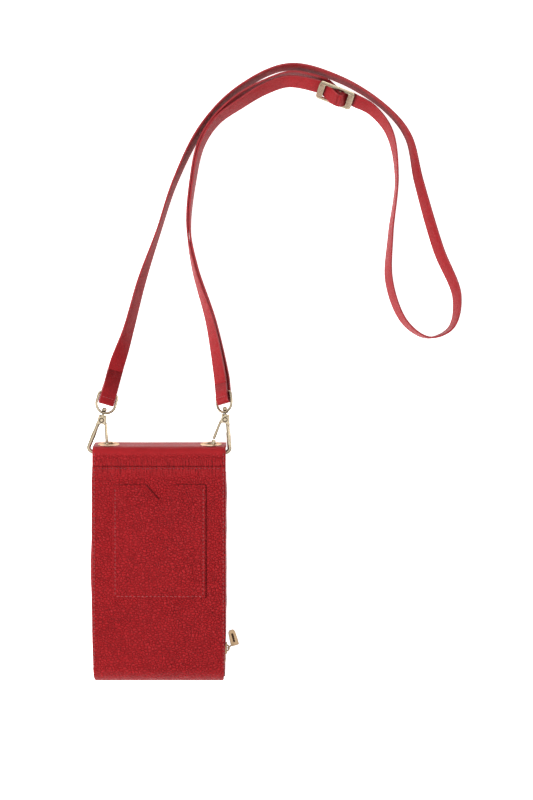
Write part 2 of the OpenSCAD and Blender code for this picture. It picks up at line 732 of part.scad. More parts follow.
strap_end(left_base, left_eye_turn, left_end_y, true);  // left_strap_end
hook(right_swivel, right_hook_lean, -1);  // right_hook
gate(right_swivel, right_hook_lean, -1);  // right_gate
gate_pin(right_swivel, right_hook_lean);  // right_gate_pin
gate_spring(right_swivel, right_hook_lean);  // right_gate_spring
stud(right_base, right_eye_turn);  // right_stud
eye(right_base, right_eye_turn);  // right_eye
strap_end(right_base, right_eye_turn, right_end_y);  // right_strap_end
adjuster_frame();
adjuster_bar();
strap_bar_loop();
strap();
strap_return();
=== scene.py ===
"""Phone wallet case on a strap: the visual model. Lengths are in millimetres unless a name says otherwise."""
import math

import bpy
import bmesh
from mathutils import Matrix, Vector, noise


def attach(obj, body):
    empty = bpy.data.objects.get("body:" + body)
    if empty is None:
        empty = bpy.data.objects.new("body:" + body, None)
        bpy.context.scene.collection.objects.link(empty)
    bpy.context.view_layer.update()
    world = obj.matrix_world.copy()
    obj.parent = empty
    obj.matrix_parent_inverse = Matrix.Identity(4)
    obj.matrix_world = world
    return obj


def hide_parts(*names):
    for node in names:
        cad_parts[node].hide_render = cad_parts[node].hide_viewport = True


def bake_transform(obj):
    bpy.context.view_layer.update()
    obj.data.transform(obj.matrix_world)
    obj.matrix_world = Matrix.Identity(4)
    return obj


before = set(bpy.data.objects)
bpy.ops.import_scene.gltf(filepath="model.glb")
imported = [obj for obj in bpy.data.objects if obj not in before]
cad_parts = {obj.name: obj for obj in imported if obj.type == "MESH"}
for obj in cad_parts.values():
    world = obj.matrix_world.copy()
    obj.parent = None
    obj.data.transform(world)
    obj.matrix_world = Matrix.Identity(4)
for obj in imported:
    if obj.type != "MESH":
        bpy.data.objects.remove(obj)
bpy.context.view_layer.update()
MM = 0.001
scene = bpy.context.scene


def add_object(name, data):
    obj = bpy.data.objects.new(name, data)
    scene.collection.objects.link(obj)
    return obj


# ---- camera

VIEW_CENTRE = (86.2, 130.3)
VIEW_HEIGHT = 1300.0
VIEW_SPAN = 653.06
SENSOR = 24.0

cam = add_object("camera", bpy.data.cameras.new("camera"))
cam.location = (VIEW_CENTRE[0] * MM, VIEW_CENTRE[1] * MM, VIEW_HEIGHT * MM)
cam.data.sensor_fit = "VERTICAL"
cam.data.sensor_height = SENSOR
cam.data.lens = SENSOR * VIEW_HEIGHT / VIEW_SPAN
cam.data.clip_end = 20
scene.camera = cam

# ---- sizes shared with part.scad

HALF_W, TOP_Y, CASE_T, LEATHER = 53.5, 96.0, 26.0, 1.8
FRONT_Z = 3.2
SHELL_R = (CASE_T - FRONT_Z) / 2
SHELL_CZ = FRONT_Z + SHELL_R
SHELL_CY = SHELL_R - TOP_Y
PANEL_Z = CASE_T - LEATHER
INNER_Z = FRONT_Z + LEATHER
BAND_EDGE = TOP_Y - 19
BAND_TUCK = BAND_EDGE - 11
FRONT_TOP = 72.0
LEAN = math.radians(10.0)
LEAN_N = (math.cos(LEAN), math.sin(LEAN))
FRONT_R, BACK_R = 3.6, 6.0
FRONT_FOLD = (TOP_Y - FRONT_R, FRONT_R)
REACH = FRONT_FOLD[0] * LEAN_N[0] + FRONT_FOLD[1] * LEAN_N[1] + FRONT_R
BACK_FOLD_Z = PANEL_Z - BACK_R
BACK_FOLD = ((REACH - BACK_R - BACK_FOLD_Z * LEAN_N[1]) / LEAN_N[0], BACK_FOLD_Z)
GROMMET = (41.3, (REACH - 12.3 * LEAN_N[1]) / LEAN_N[0], 12.3)
GROMMET_R, FLANGE_R, BARREL_R, WASHER_T = 5.0, 8.75, 5.75, 0.45
HINGE_Y = TOP_Y - 4.6
FLAP_T, FLAP_LOW = 1.4, -86.0
DIVIDER_Z, DIVIDER_T = 14.2, 1.2
ZIP_X, ZIP_Z, ZIP_LOW, ZIP_TOP, ZIP_LEFT, ZIP_R = 52.15, 19.6, -78.0, 79.0, -45.0, 8.0
SLIDER_Y = -69.0
HOOK_Z = 13.0
LEFT = {"word": "left", "swivel": (-46.2, 117.6, HOOK_Z), "lean": 10.0, "gate": 1, "eye": (-10.0, 15.0, 14.0),
        "end": 38.0}
RIGHT = {"word": "right", "swivel": (53.2, 118.2, HOOK_Z), "lean": 7.5, "gate": -1, "eye": (-12.0, -40.0, -6.0),
         "end": 26.0}
BALL_Y, PIVOT_Y = -0.6, -3.8
EYE_R, EYE_WIRE, EYE_MID, EYE_TOP, EYE_CORNER = 7.8, 1.05, 10.2, 19.0, 3.0
STRAP_W, STRAP_T = 12.5, 1.6
LAYER_Z = EYE_WIRE + 0.3 + STRAP_T / 2
FOLD_Y = 9.3
LAYER_STEP = STRAP_T + 0.35
ADJ_AT, ADJ_DIR, ADJ_TWIST = (141.8, 376.9), 159.0, 130.0
ADJ_L, ADJ_W, ADJ_T, ADJ_END, ADJ_RAIL, ADJ_BAR, ADJ_BAR_S = 30.0, 17.5, 2.4, 5.2, 2.2, 1.2, -3.0
ADJ_LIFT = 3.7
LOOP_TAIL, LOOP_LEAN = 15.0, 30.0
POCKET_X, POCKET_HW, POCKET_TOP, POCKET_H, NOTCH_HW, NOTCH_DEPTH = 0.4, 37.25, 62.8, 91.5, 10.75, 12.4
LINING_T, SWEEP_STEP = 0.5, 4.0
UP = Vector((0, 0, 1))

# ---- small mesh library


def rot(axis, degrees):
    return Matrix.Rotation(math.radians(degrees), 4, axis)


def shift(x, y, z):
    return Matrix.Translation((x, y, z))


def polar(radius, degrees, x=0.0, y=0.0):
    """The point at this distance and angle from (x, y)."""
    a = math.radians(degrees)
    return x + radius * math.cos(a), y + radius * math.sin(a)


def circle(n):
    return [(math.cos(2 * math.pi * k / n), math.sin(2 * math.pi * k / n)) for k in range(n)]


def around(points, i):
    """The points before and after number i, or the end itself at an end."""
    return points[max(0, i - 1)], points[min(len(points) - 1, i + 1)]


def clean(me, merge=0.0):
    """Joins points closer than merge and turns the faces outwards."""
    bm = bmesh.new()
    bm.from_mesh(me)
    if merge:
        bmesh.ops.remove_doubles(bm, verts=bm.verts, dist=merge)
    bmesh.ops.recalc_face_normals(bm, faces=bm.faces)
    bm.to_mesh(me)
    bm.free()


def finish_mesh(name, me, mats):
    """Links a mesh given in mm, converts it to metres and gives it its materials."""
    me.transform(Matrix.Scale(MM, 4))
    me.validate()
    for m in mats:
        me.materials.append(m)
    me.shade_smooth()
    return add_object(name, me)


def make(name, verts, faces, mats, face_mats=None):
    me = bpy.data.meshes.new(name)
    me.from_pydata([tuple(v) for v in verts], [], faces)
    if face_mats:
        me.polygons.foreach_set("material_index", face_mats)
    clean(me)
    return finish_mesh(name, me, mats)


def apply_modifiers(obj):
    deps = bpy.context.evaluated_depsgraph_get()
    me = bpy.data.meshes.new_from_object(obj.evaluated_get(deps))
    obj.modifiers.clear()
    old = obj.data
    obj.data = me
    bpy.data.meshes.remove(old)
    return obj


def soften(obj, width):
    """Rounds the sharp edges of a finished mesh; width in mm."""
    mod = obj.modifiers.new("edge", "BEVEL")
    mod.width, mod.segments, mod.angle_limit = width * MM, 2, math.radians(40)
    mod.limit_method = "ANGLE"
    mod.harden_normals = False
    return apply_modifiers(obj)


def settle(obj, body, node=None, crease=None):
    """Hides the solid a piece replaces and hangs the piece on its body; crease is the angle in degrees that stays
    sharp.
    """
    if crease:
        obj.data.set_sharp_from_angle(angle=math.radians(crease))
    if node:
        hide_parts(node)
    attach(obj, body)
    return obj


def skin(rings, closed_ring=True, closed_path=False, caps=True):
    """Vertices and faces of a skin over rings of equal length."""
    n, m = len(rings), len(rings[0])
    verts = [p for r in rings for p in r]
    faces = []
    for i in range(n if closed_path else n - 1):
        a, b = i * m, ((i + 1) % n) * m
        for k in range(m if closed_ring else m - 1):
            j = (k + 1) % m
            faces.append((a + k, a + j, b + j, b + k))
    if caps and not closed_path:
        faces.append(tuple(reversed(range(m))))
        faces.append(tuple((n - 1) * m + k for k in range(m)))
    return verts, faces
def skins(stacks):
    """One skin over each stack of rings, all in one list of vertices and one of faces."""
    verts, faces = [], []
    for rings in stacks:
        more, quads = skin(rings)
        faces += [tuple(len(verts) + i for i in f) for f in quads]
        verts += more
    return verts, faces


def path_frames(path, closed):
    """Rotation-minimising frames along a polyline."""
    n = len(path)
    tangents = []
    for i in range(n):
        a, b = (path[i - 1], path[(i + 1) % n]) if closed else around(path, i)
        tangents.append((b - a).normalized())
    side = tangents[0].cross(UP)
    if side.length < 1e-4:
        side = tangents[0].cross(Vector((1, 0, 0)))
    side.normalize()
    frames = []
    for t in tangents:
        side = (side - t * side.dot(t)).normalized()
        frames.append((side, side.cross(t)))
    return frames


def tube(name, path, radius, mats, closed=False, sides=16):
    """Round wire along a path. radius may be a list, one per point."""
    path = [Vector(p) for p in path]
    radii = radius if isinstance(radius, list) else [radius] * len(path)
    rings = [[p + a * (r * x) + b * (r * y) for x, y in circle(sides)]
             for p, r, (a, b) in zip(path, radii, path_frames(path, closed))]
    return make(name, *skin(rings, closed_path=closed), mats)


def lathe(name, profile, mats, place, steps=56):
    """Turns a profile of (radius, height) about z. It is open where it starts and ends on the axis, else closed."""
    on_axis = profile[0][0] < 1e-6 and profile[-1][0] < 1e-6
    rings = [[place @ Vector((r * x, r * y, z)) for r, z in profile] for x, y in circle(steps)]
    obj = make(name, *skin(rings, closed_ring=not on_axis, closed_path=True), mats)
    clean(obj.data, 1e-7)
    obj.data.shade_smooth()
    return obj


def plate(name, loops, z0, z1, bevel, mats, place=Matrix.Identity(4)):
    """A flat plate with rounded edges and any holes: the first loop is its outline, the others are holes."""
    cu = bpy.data.curves.new(name, "CURVE")
    cu.dimensions, cu.fill_mode = "2D", "BOTH"
    cu.extrude = (z1 - z0) / 2 - bevel
    cu.bevel_depth, cu.bevel_resolution, cu.offset = bevel, 3, -bevel
    for loop in loops:
        sp = cu.splines.new("POLY")
        sp.points.add(len(loop) - 1)
        for q, (x, y) in zip(sp.points, loop):
            q.co = (x, y, 0, 1)
        sp.use_cyclic_u = True
    tmp = add_object(name + "_curve", cu)
    me = bpy.data.meshes.new_from_object(tmp.evaluated_get(bpy.context.evaluated_depsgraph_get()))
    bpy.data.objects.remove(tmp)
    bpy.data.curves.remove(cu)
    clean(me, 1e-4)
    me.name = name
    me.transform(place @ shift(0, 0, (z0 + z1) / 2))
    if place.determinant() < 0:
        me.flip_normals()
    me.materials.clear()
    obj = finish_mesh(name, me, mats)
    obj.data.set_sharp_from_angle(angle=math.radians(30))
    return obj


def join(name, objs):
    """Joins meshes into one object. They share one material list."""
    bm = bmesh.new()
    mats = []
    for o in objs:
        index = []
        for m in o.data.materials:
            if m not in mats:
                mats.append(m)
            index.append(mats.index(m))
        start = len(bm.faces)
        bm.from_mesh(o.data)
        bm.faces.ensure_lookup_table()
        for f in bm.faces[start:]:
            f.material_index = index[f.material_index]
    me = bpy.data.meshes.new(name)
    bm.to_mesh(me)
    bm.free()
    for m in mats:
        me.materials.append(m)
    for o in objs:
        old = o.data
        bpy.data.objects.remove(o)
        bpy.data.meshes.remove(old)
    return add_object(name, me)


def arc(cx, cy, r, a0, a1, n):
    return [polar(r, a0 + (a1 - a0) * i / n, cx, cy) for i in range(n + 1)]


def round_rect(x0, x1, y0, y1, r, n=6):
    return (arc(x1 - r, y0 + r, r, -90, 0, n) + arc(x1 - r, y1 - r, r, 0, 90, n)
            + arc(x0 + r, y1 - r, r, 90, 180, n) + arc(x0 + r, y0 + r, r, 180, 270, n))


def resample(points, step):
    """Points at an even step along a polyline of vectors."""
    points = [Vector(p) for p in points]
    total = [0.0]
    for a, b in zip(points, points[1:]):
        total.append(total[-1] + (b - a).length)
    count = max(1, round(total[-1] / step))
    out, i = [], 0
    for k in range(count + 1):
        d = total[-1] * k / count
        while i < len(points) - 2 and total[i + 1] < d:
            i += 1
        span = total[i + 1] - total[i]
        out.append(points[i].lerp(points[i + 1], 0 if span < 1e-9 else (d - total[i]) / span))
    return out


# ---- materials


class Nodes:
    """Short calls for a material's node tree."""

    def __init__(self, name):
        self.mat = bpy.data.materials.new(name)
        self.mat.use_nodes = True
        self.tree = self.mat.node_tree
        self.tree.nodes.clear()
        self.out = self.add("ShaderNodeOutputMaterial")
        self.shader = self.add("ShaderNodeBsdfPrincipled")
        self.link(self.shader.outputs[0], self.out.inputs[0])
        self.coord = self.add("ShaderNodeTexCoord").outputs["Object"]

    def put(self, socket, value):
        """Gives a socket a value, or links another socket to it. None leaves it as it is."""
        if isinstance(value, bpy.types.NodeSocket):
            self.link(value, socket)
        elif value is not None:
            socket.default_value = (*value, 1) if socket.type == "RGBA" else value

    def add(self, kind, inputs=None, **values):
        node = self.tree.nodes.new(kind)
        for key, value in values.items():
            setattr(node, key, value)
        for key, value in (inputs or {}).items():
            self.put(node.inputs[key], value)
        return node

    def link(self, a, b):
        self.tree.links.new(a, b)

    def set(self, **values):
        for key, value in values.items():
            self.put(self.shader.inputs[key.replace("_", " ").title().replace("Ior", "IOR")], value)

    def noise(self, scale, detail, rough, vector=None, out="Fac"):
        return self.add("ShaderNodeTexNoise", {"Scale": scale, "Detail": detail, "Roughness": rough,
                                               "Vector": vector or self.coord}).outputs[out]

    def xyz(self, vector):
        return self.add("ShaderNodeSeparateXYZ", {0: vector}).outputs

    def math(self, op, *values):
        return self.add("ShaderNodeMath", dict(enumerate(values)), operation=op).outputs[0]

    def mix(self, factor, a, b):
        return self.add("ShaderNodeMix", {0: factor, 6: a, 7: b}, data_type="RGBA").outputs[2]

    def bump(self, height, strength, distance_mm, normal=None):
        return self.add("ShaderNodeBump", {"Strength": strength, "Distance": distance_mm * MM,
                                           "Height": height, "Normal": normal}).outputs[0]

    def map_range(self, *values):
        """The value, the range it comes from and the range it goes to, 0 to 1 if not given."""
        return self.add("ShaderNodeMapRange", dict(enumerate(values))).outputs[0]


def shade(colour, k):
    return tuple(c * k for c in colour)


def leather(name, base, grain_mm, depth_mm, rough, gathered=False):
    """Pebbled leather: irregular raised cells with painted shade in the creases between them and in their low spots,
    fine pores and a slow change of colour.

    A gathered piece has short pleats on both sides of the band's seam, with painted shade in their hollows, and a
    smooth stretch over the fold."""
    n = Nodes(name)
    warp = n.noise(190, 2, 0.5, out="Color")
    bent = n.add("ShaderNodeMix", {0: 0.0022, 4: n.coord, 5: warp}, data_type="VECTOR").outputs[1]
    turned = n.add("ShaderNodeMapping", {"Vector": bent, "Rotation": (0.0, 0.0, math.radians(-38)),
                                         "Scale": (0.62, 1.0, 1.0)}).outputs[0]
    edge = n.add("ShaderNodeTexVoronoi", {"Vector": turned, "Scale": 1000.0 / grain_mm},
                 feature="DISTANCE_TO_EDGE").outputs["Distance"]
    dome = n.math("POWER", n.map_range(edge, 0.0, 0.30), 0.6)
    lumps = n.noise(1000.0 / (grain_mm * 2.4), 3, 0.6, turned)
    pores = n.noise(2600, 2, 0.6)
    slow = n.noise(34, 3, 0.6)
    fade = n.noise(9, 2, 0.5)
    height = n.math("MULTIPLY_ADD", pores, 0.06, n.math("MULTIPLY_ADD", lumps, 1.2, dome))
    strength = n.map_range(slow, 0.3, 0.7, 0.75, 1.0)
    # mask of the painted shade in the creases between the cells
    crease = n.map_range(edge, 0.0, 0.13, 0.62, 0.0)
    if gathered:
        y = n.xyz(n.coord)[1]
        along = n.add("ShaderNodeVectorMath", {0: n.coord, 1: (1.0, 0.16, 0.16)}, operation="MULTIPLY").outputs[0]
        pleats = n.noise(680, 2, 0.55, along)
        near = n.math("ABSOLUTE", n.math("SUBTRACT", y, 0.0765))
        place = n.map_range(near, 0.004, 0.0095, 1.0, 0.0)
        height = n.math("MULTIPLY", height, n.map_range(place, 0.0, 1.0, 1.0, 0.35))
        height = n.math("MULTIPLY_ADD", n.math("MULTIPLY", pleats, place), 3.6, height)
        smooth = n.map_range(y, 0.0845, 0.0885, 1.0, 0.12)
        strength = n.math("MULTIPLY", strength, smooth)
        crease = n.math("MULTIPLY", crease, smooth)
        # painted shade in the hollows of the pleats, joined to the painted crease shade
        fold = n.math("MULTIPLY", n.map_range(pleats, 0.38, 0.55, 0.38, 0.0), place)
        crease = n.math("MAXIMUM", n.math("MULTIPLY", crease, n.map_range(place, 0.0, 1.0, 1.0, 0.4)), fold)
    col = n.mix(n.map_range(slow, 0.3, 0.7), shade(base, 0.94), shade(base, 1.07))
    col = n.mix(n.map_range(fade, 0.35, 0.65, 0.0, 0.35), col, shade(base, 0.85))
    # painted shade: darker where the lumps sink low and in the creases
    col = n.mix(n.map_range(lumps, 0.35, 0.65, 0.5, 0.0), col, shade(base, 0.72))
    col = n.mix(crease, col, shade(base, 0.5))
    gloss = n.map_range(n.math("MULTIPLY", dome, slow), 0.1, 0.7, rough + 0.12, rough - 0.05)
    n.set(base_color=col, normal=n.bump(height, strength, depth_mm, n.bump(slow, 0.35, 0.8)), roughness=gloss,
          specular_ior_level=0.2)
    return n.mat


def metal(name, base, rough, painted_dark_sides=0.0):
    """Polished plate with faint scratches and cloudy patches; its sides are painted dark brown all round a piece, a
    painted reflection of dark surroundings, as strongly as the last argument says.
    """
    n = Nodes(name)
    cloud = n.noise(120, 3, 0.6)
    fine = n.noise(1500, 2, 0.6)
    col = n.mix(n.map_range(cloud, 0.35, 0.7), base, shade(base, 0.85))
    if painted_dark_sides:
        # painted reflection: faces that turn away from the piece's own up and down axis get a dark brown colour
        level = n.math("ABSOLUTE", n.xyz(n.add("ShaderNodeTexCoord").outputs["Normal"])[2])
        col = n.mix(n.map_range(level, 0.35, 0.85, painted_dark_sides, 0.0), col, (0.035, 0.022, 0.012))
    wear = n.math("ADD", cloud, n.math("MULTIPLY", fine, 0.4))
    n.set(base_color=col, metallic=1.0, specular_tint=(0.5, 0.38, 0.28), normal=n.bump(fine, 0.12, 0.05),
          roughness=n.map_range(wear, 0.4, 0.95, rough, rough + 0.16))
    return n.mat


def cloth(name, base, threads_mm):
    """Plain weave from two crossed waves, with painted shade in the weave's low spots."""
    n = Nodes(name)
    x, y, z = n.xyz(n.coord)
    k = math.pi * 1000.0 / threads_mm
    wx, wy = (n.math("SINE", n.math("MULTIPLY", n.math("ADD", axis, z), k)) for axis in (x, y))
    weave = n.math("MULTIPLY", wx, wy)
    fuzz = n.noise(1800, 2, 0.6)
    # painted shade: darker where the weave sinks
    col = n.mix(n.map_range(weave, -1, 1), shade(base, 0.62), base)
    col = n.mix(n.map_range(fuzz, 0.3, 0.7, 0.0, 0.3), col, tuple(c * 1.5 + 0.01 for c in base))
    n.set(base_color=col, normal=n.bump(weave, 0.6, 0.12, n.bump(fuzz, 0.3, 0.1)),
          roughness=n.map_range(fuzz, 0, 1, 0.8, 0.95), sheen_weight=0.25, sheen_roughness=0.5)
    return n.mat


def painted_edge(name, base):
    """Smooth painted leather edge."""
    n = Nodes(name)
    slow = n.noise(220, 3, 0.6)
    n.set(base_color=n.mix(n.map_range(slow, 0.3, 0.7), shade(base, 0.7), base),
          normal=n.bump(slow, 0.35, 0.2), roughness=n.map_range(slow, 0.3, 0.7, 0.3, 0.45))
    return n.mat


def thread(name, base):
    """Twisted sewing thread, with painted shade in the grooves of its twist."""
    n = Nodes(name)
    wave = n.add("ShaderNodeTexWave", {"Scale": 700, "Vector": n.coord}, bands_direction="DIAGONAL").outputs["Fac"]
    # painted shade: darker in the grooves of the twist
    n.set(base_color=n.mix(wave, shade(base, 0.6), base), normal=n.bump(wave, 0.5, 0.1), roughness=0.6,
          sheen_weight=0.2)
    return n.mat


RED = (0.345, 0.0105, 0.0140)
M_RED = leather("red_pebbled_leather", RED, 1.75, 0.8, 0.47, True)
M_STRAP = leather("red_strap_leather", (0.330, 0.0100, 0.0140), 1.2, 0.22, 0.42)
M_EDGE = painted_edge("painted_leather_edge", (0.27, 0.014, 0.018))
M_STRAP_EDGE = painted_edge("painted_strap_edge", (0.36, 0.022, 0.028))
M_LINING = cloth("wine_lining", (0.13, 0.012, 0.015), 0.7)
M_TAPE = cloth("zip_tape_cloth", (0.22, 0.012, 0.016), 0.9)
# the last numbers of the pale gold plate and the zip brass set how dark their painted reflection on the sides is
M_GOLD = metal("pale_gold_plate", (0.84, 0.70, 0.50), 0.14, 0.95)
M_RIM = metal("pale_gold_rim", (0.62, 0.46, 0.35), 0.18)
# near black metal put into the pull's slot and round the gate pins: painted shade of the openings and gaps there
M_PAINTED_SHADE = metal("zip_recess", (0.09, 0.055, 0.035), 0.5)
M_ZIP = metal("zip_brass", (0.66, 0.45, 0.27), 0.2, 0.7)
M_STEEL = metal("spring_wire", (0.6, 0.6, 0.6), 0.25)
M_THREAD = thread("red_thread", (0.43, 0.05, 0.055))
# a darker copy of the red thread: painted shade that makes the band's seam read as a dark line
M_SHADED_THREAD = thread("sunk_red_thread", (0.24, 0.012, 0.016))

# ---- strap


def eye_matrix(side):
    """The frame of a swivel eye: x across, y along the swivel axis, z out of its plane."""
    fall, roll, plan = side["eye"]
    turn = rot("Z", -plan) @ rot("X", fall) @ rot("Y", roll)
    ball = shift(*side["swivel"]) @ rot("Z", -side["lean"]) @ Vector((0, BALL_Y, 0))
    return Matrix.Translation(ball - (turn @ Vector((0, BALL_Y, 0)))) @ turn


for side in (LEFT, RIGHT):
    side["frame"] = eye_matrix(side)


def rest_z(a):
    """The height of a strap's middle when it rests on the surface, twisted by a degrees."""
    c, s = polar(1, a)
    return (STRAP_W * abs(s) + STRAP_T * abs(c)) / 2


def width_of(t, a):
    """The direction across a strap that runs along t, twisted by a degrees; face_of is the one out of its face."""
    c, s = polar(1, a)
    side = UP.cross(t).normalized()
    return side * c + t.cross(side) * s


def face_of(t, a):
    return t.cross(width_of(t, a))


ADJ_ALONG = Vector((*polar(1, ADJ_DIR), 0))
ADJ_ACROSS, ADJ_FACE = width_of(ADJ_ALONG, ADJ_TWIST), face_of(ADJ_ALONG, ADJ_TWIST)
ADJ_CENTRE = Vector((*ADJ_AT, ADJ_W / 2 * abs(ADJ_ACROSS.z) + ADJ_T / 2 * abs(ADJ_FACE.z) + ADJ_LIFT))
ADJ_PLACE = Matrix.Translation(ADJ_CENTRE) @ Matrix((ADJ_ALONG, ADJ_ACROSS, ADJ_FACE)).transposed().to_4x4()


def station(p, a):
    """A route point as (x, y, height above resting on the surface, twist)."""
    return (p[0], p[1], p[2] - rest_z(a), a)


def adj_point(s, n, lean=0.0):
    """A route point in the adjuster's frame; lean is the layer's slope there, out of the frame's plane."""
    run, rise = polar(1, lean)
    t = ADJ_ALONG * run + ADJ_FACE * rise
    across = width_of(t, 0)
    twist = math.degrees(math.atan2(ADJ_ACROSS.dot(t.cross(across)), ADJ_ACROSS.dot(across)))
    return station(ADJ_CENTRE + ADJ_ALONG * s + ADJ_FACE * n, twist)


def eye_run(side, z):
    """The two route points next to a sewn end, the end first."""
    return [station(side["frame"] @ Vector((0, side["end"] + d, z)), abs(side["eye"][1])) for d in (0, STRAIGHT)]


OUTER_ROUTE = [
    (-27, 184, 1, 50), (-15, 228, 0, 65), (-2, 266, 0, 80), (12, 308, 0, 78),
    (34, 351.5, 0, 72), (64, 383, 0, 77), (104, 401, 0, 78), (145, 391, 0, 78),
    (182, 368, 0, 80), (201, 345, 0, 74), (210, 308, 0, 62), (226, 253, 0, 55),
    (241, 214, 0, 64), (236, 189, 0, 78), (218, 181, 0, 90), (199, 193, 0, 104),
    (186, 226, 0, 112), (187, 264, 0, 102), (192, 312, 0, 95), (186, 348, 0, 110),
    (172, 366, 0.5, 122)]
INNER_ROUTE = [
    (104, 389, 1.5, 126), (85, 383, 1.2, 124), (65, 371, 1, 118), (46, 357, 0.8, 110),
    (34, 338, 0.6, 103), (27, 306, 0.3, 98), (24, 270, 0, 90), (29, 238, 0, 78),
    (42, 194, 1, 58)]
RETURN_ROUTE = [(124, 392.5, 0, 100), (106, 396, 0, 92), (82, 387.5, 0, 96), (63, 375.5, 0.6, 108)]
FIRST_SHARED = 3
STRAIGHT = 5.0

BAR_N = ADJ_BAR + 0.6 + STRAP_T * 1.5
UNDER_N = ADJ_T / 2 + 0.3 + STRAP_T / 2
ROUTE_OUT = (eye_run(LEFT, LAYER_Z) + OUTER_ROUTE
             + [adj_point(-17.5, UNDER_N + 0.3), adj_point(-10.3, UNDER_N + 1, -28),
                adj_point(ADJ_BAR_S - 2.5, -BAR_N, -38)])
ROUTE_IN = ([adj_point(ADJ_BAR_S + 2, -BAR_N, 24), adj_point(10.6, UNDER_N + 0.5, 20), adj_point(17.5, UNDER_N + 0.3)]
            + INNER_ROUTE + eye_run(RIGHT, -LAYER_Z)[::-1])


def spline(points, step):
    """Centripetal Catmull-Rom through points of any dimension, sampled about every step mm."""
    pts = [list(map(float, p)) for p in points]
    first = [2 * a - b for a, b in zip(pts[0], pts[1])]
    end = [2 * a - b for a, b in zip(pts[-1], pts[-2])]
    pts = [first] + pts + [end]

    def gap(a, b):
        return max(1e-3, math.dist(a[:2], b[:2]) ** 0.5)

    def lerp(a, b, ta, tb, t):
        return [x + (y - x) * (t - ta) / (tb - ta) for x, y in zip(a, b)]

    out = []
    for i in range(1, len(pts) - 2):
        p = pts[i - 1:i + 3]
        t0, t1 = 0.0, gap(p[0], p[1])
        t2 = t1 + gap(p[1], p[2])
        t3 = t2 + gap(p[2], p[3])
        count = max(2, round(math.dist(p[1][:2], p[2][:2]) / step))
        for k in range(count):
            t = t1 + (t2 - t1) * k / count
            a1, a2, a3 = lerp(p[0], p[1], t0, t1, t), lerp(p[1], p[2], t1, t2, t), lerp(p[2], p[3], t2, t3, t)
            out.append(lerp(lerp(a1, a2, t0, t2, t), lerp(a2, a3, t1, t3, t), t1, t2, t))
    out.append(pts[-2])
    return out


def strap_frames(samples):
    """Centre, width and face vectors of a strap along its samples."""
    centres = [Vector((p[0], p[1], rest_z(p[3]) + p[2])) for p in samples]
    frames = []
    for i, (c, p) in enumerate(zip(centres, samples)):
        a, b = around(centres, i)
        t = (b - a).normalized()
        frames.append((c, width_of(t, p[3]), face_of(t, p[3])))
    return frames


def strap_mesh(name, frames):
    """A strap with rounded, painted edges along its frames."""
    r = 0.5
    section = [polar(r, a + 30 * k, x * (STRAP_W / 2 - r), y * (STRAP_T / 2 - r))
               for x, y, a in ((1, 1, 0), (-1, 1, 90), (-1, -1, 180), (1, -1, 270)) for k in range(4)]
    rings = [[c + w * x + n * y for x, y in section] for c, w, n in frames]
    middles = [abs(a[0] + b[0]) / 2 for a, b in zip(section, section[1:] + section[:1])]
    kinds = [1 if m > STRAP_W / 2 - 0.62 else 0 for m in middles] * (len(frames) - 1) + [1, 1]
    return make(name, *skin(rings), [M_STRAP, M_STRAP_EDGE], kinds)


def band_frames(matrix, points, across, turn):
    """Strap frames along points of one plane in a fitting's frame; turn is 1 or -1 for the side the face is on."""
    basis = matrix.to_3x3()
    frames = []
    for i, p in enumerate(points):
        a, b = around(points, i)
        frames.append((matrix @ p, basis @ across, basis @ (across.cross((b - a).normalized()) * turn)))
    return frames


full = spline(ROUTE_OUT + ROUTE_IN, 2.5)
all_frames = strap_frames(full)
bar_point = ADJ_CENTRE + ADJ_ALONG * ADJ_BAR_S - ADJ_FACE * BAR_N
bar_at = min(range(len(full)), key=lambda i: (all_frames[i][0] - bar_point).length)
strap_out, strap_in = all_frames[:bar_at + 1], all_frames[bar_at:]


def beside(p):
    """The layer that lies on the face of the run at this route point."""
    i = min(range(len(full)), key=lambda k: math.dist(full[k][:2], p[:2]))
    q = all_frames[i][0] + all_frames[i][2] * LAYER_STEP
    return (q.x, q.y, q.z - rest_z(p[3]), p[3])


def tail_at(s):
    return adj_point(*polar(s, LOOP_LEAN, ADJ_BAR_S), LOOP_LEAN)


ROUTE_RETURN = ([tail_at(LOOP_TAIL), tail_at(LOOP_TAIL + 3)] + RETURN_ROUTE
                + [beside(p) for p in ROUTE_IN[3 + FIRST_SHARED:-2]] + eye_run(RIGHT, LAYER_Z)[::-1])
back_frames = strap_frames(spline(ROUTE_RETURN, 2.5))


def declare_cord(obj, frames, node):
    """Measures a strap's length along its frames, hides the solid it replaces and bakes its placement into its mesh.
    """
    path = [c * MM for c, w, n in frames]
    length = sum((b - a).length for a, b in zip(path, path[1:]))
    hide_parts(node)
    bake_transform(obj)
    return length


lengths = [declare_cord(strap_mesh("strap_outer_run", strap_out), strap_out, "strap"),
           declare_cord(strap_mesh("strap_inner_run", strap_in), strap_in, "strap"),
           declare_cord(strap_mesh("strap_return_layer", back_frames), back_frames, "strap_return")]
print("strap lengths in mm:", [round(x / MM) for x in lengths])


def stitch_row(name, start, end, up, body, pitch, length, radius, mat=M_THREAD):
    """A row of raised stitches: each is a short thread that dips into the leather at both ends."""
    points = resample([start, end], pitch)
    stacks = []
    for a, b in zip(points, points[1:]):
        t = (b - a).normalized()
        s = t.cross(up).normalized()
        rings = []
        for k in range(7):
            u = k / 6 * 2 - 1
            r = radius * (0.55 + 0.45 * (1 - u ** 4))
            c = (a + b) / 2 + t * (u * length / 2) + up * (radius * (0.75 - 1.15 * u ** 4))
            rings.append([c + s * (r * x) + up * (r * 0.8 * y) for x, y in circle(6)])
        stacks.append(rings)
    settle(make(name, *skins(stacks), [mat]), body)


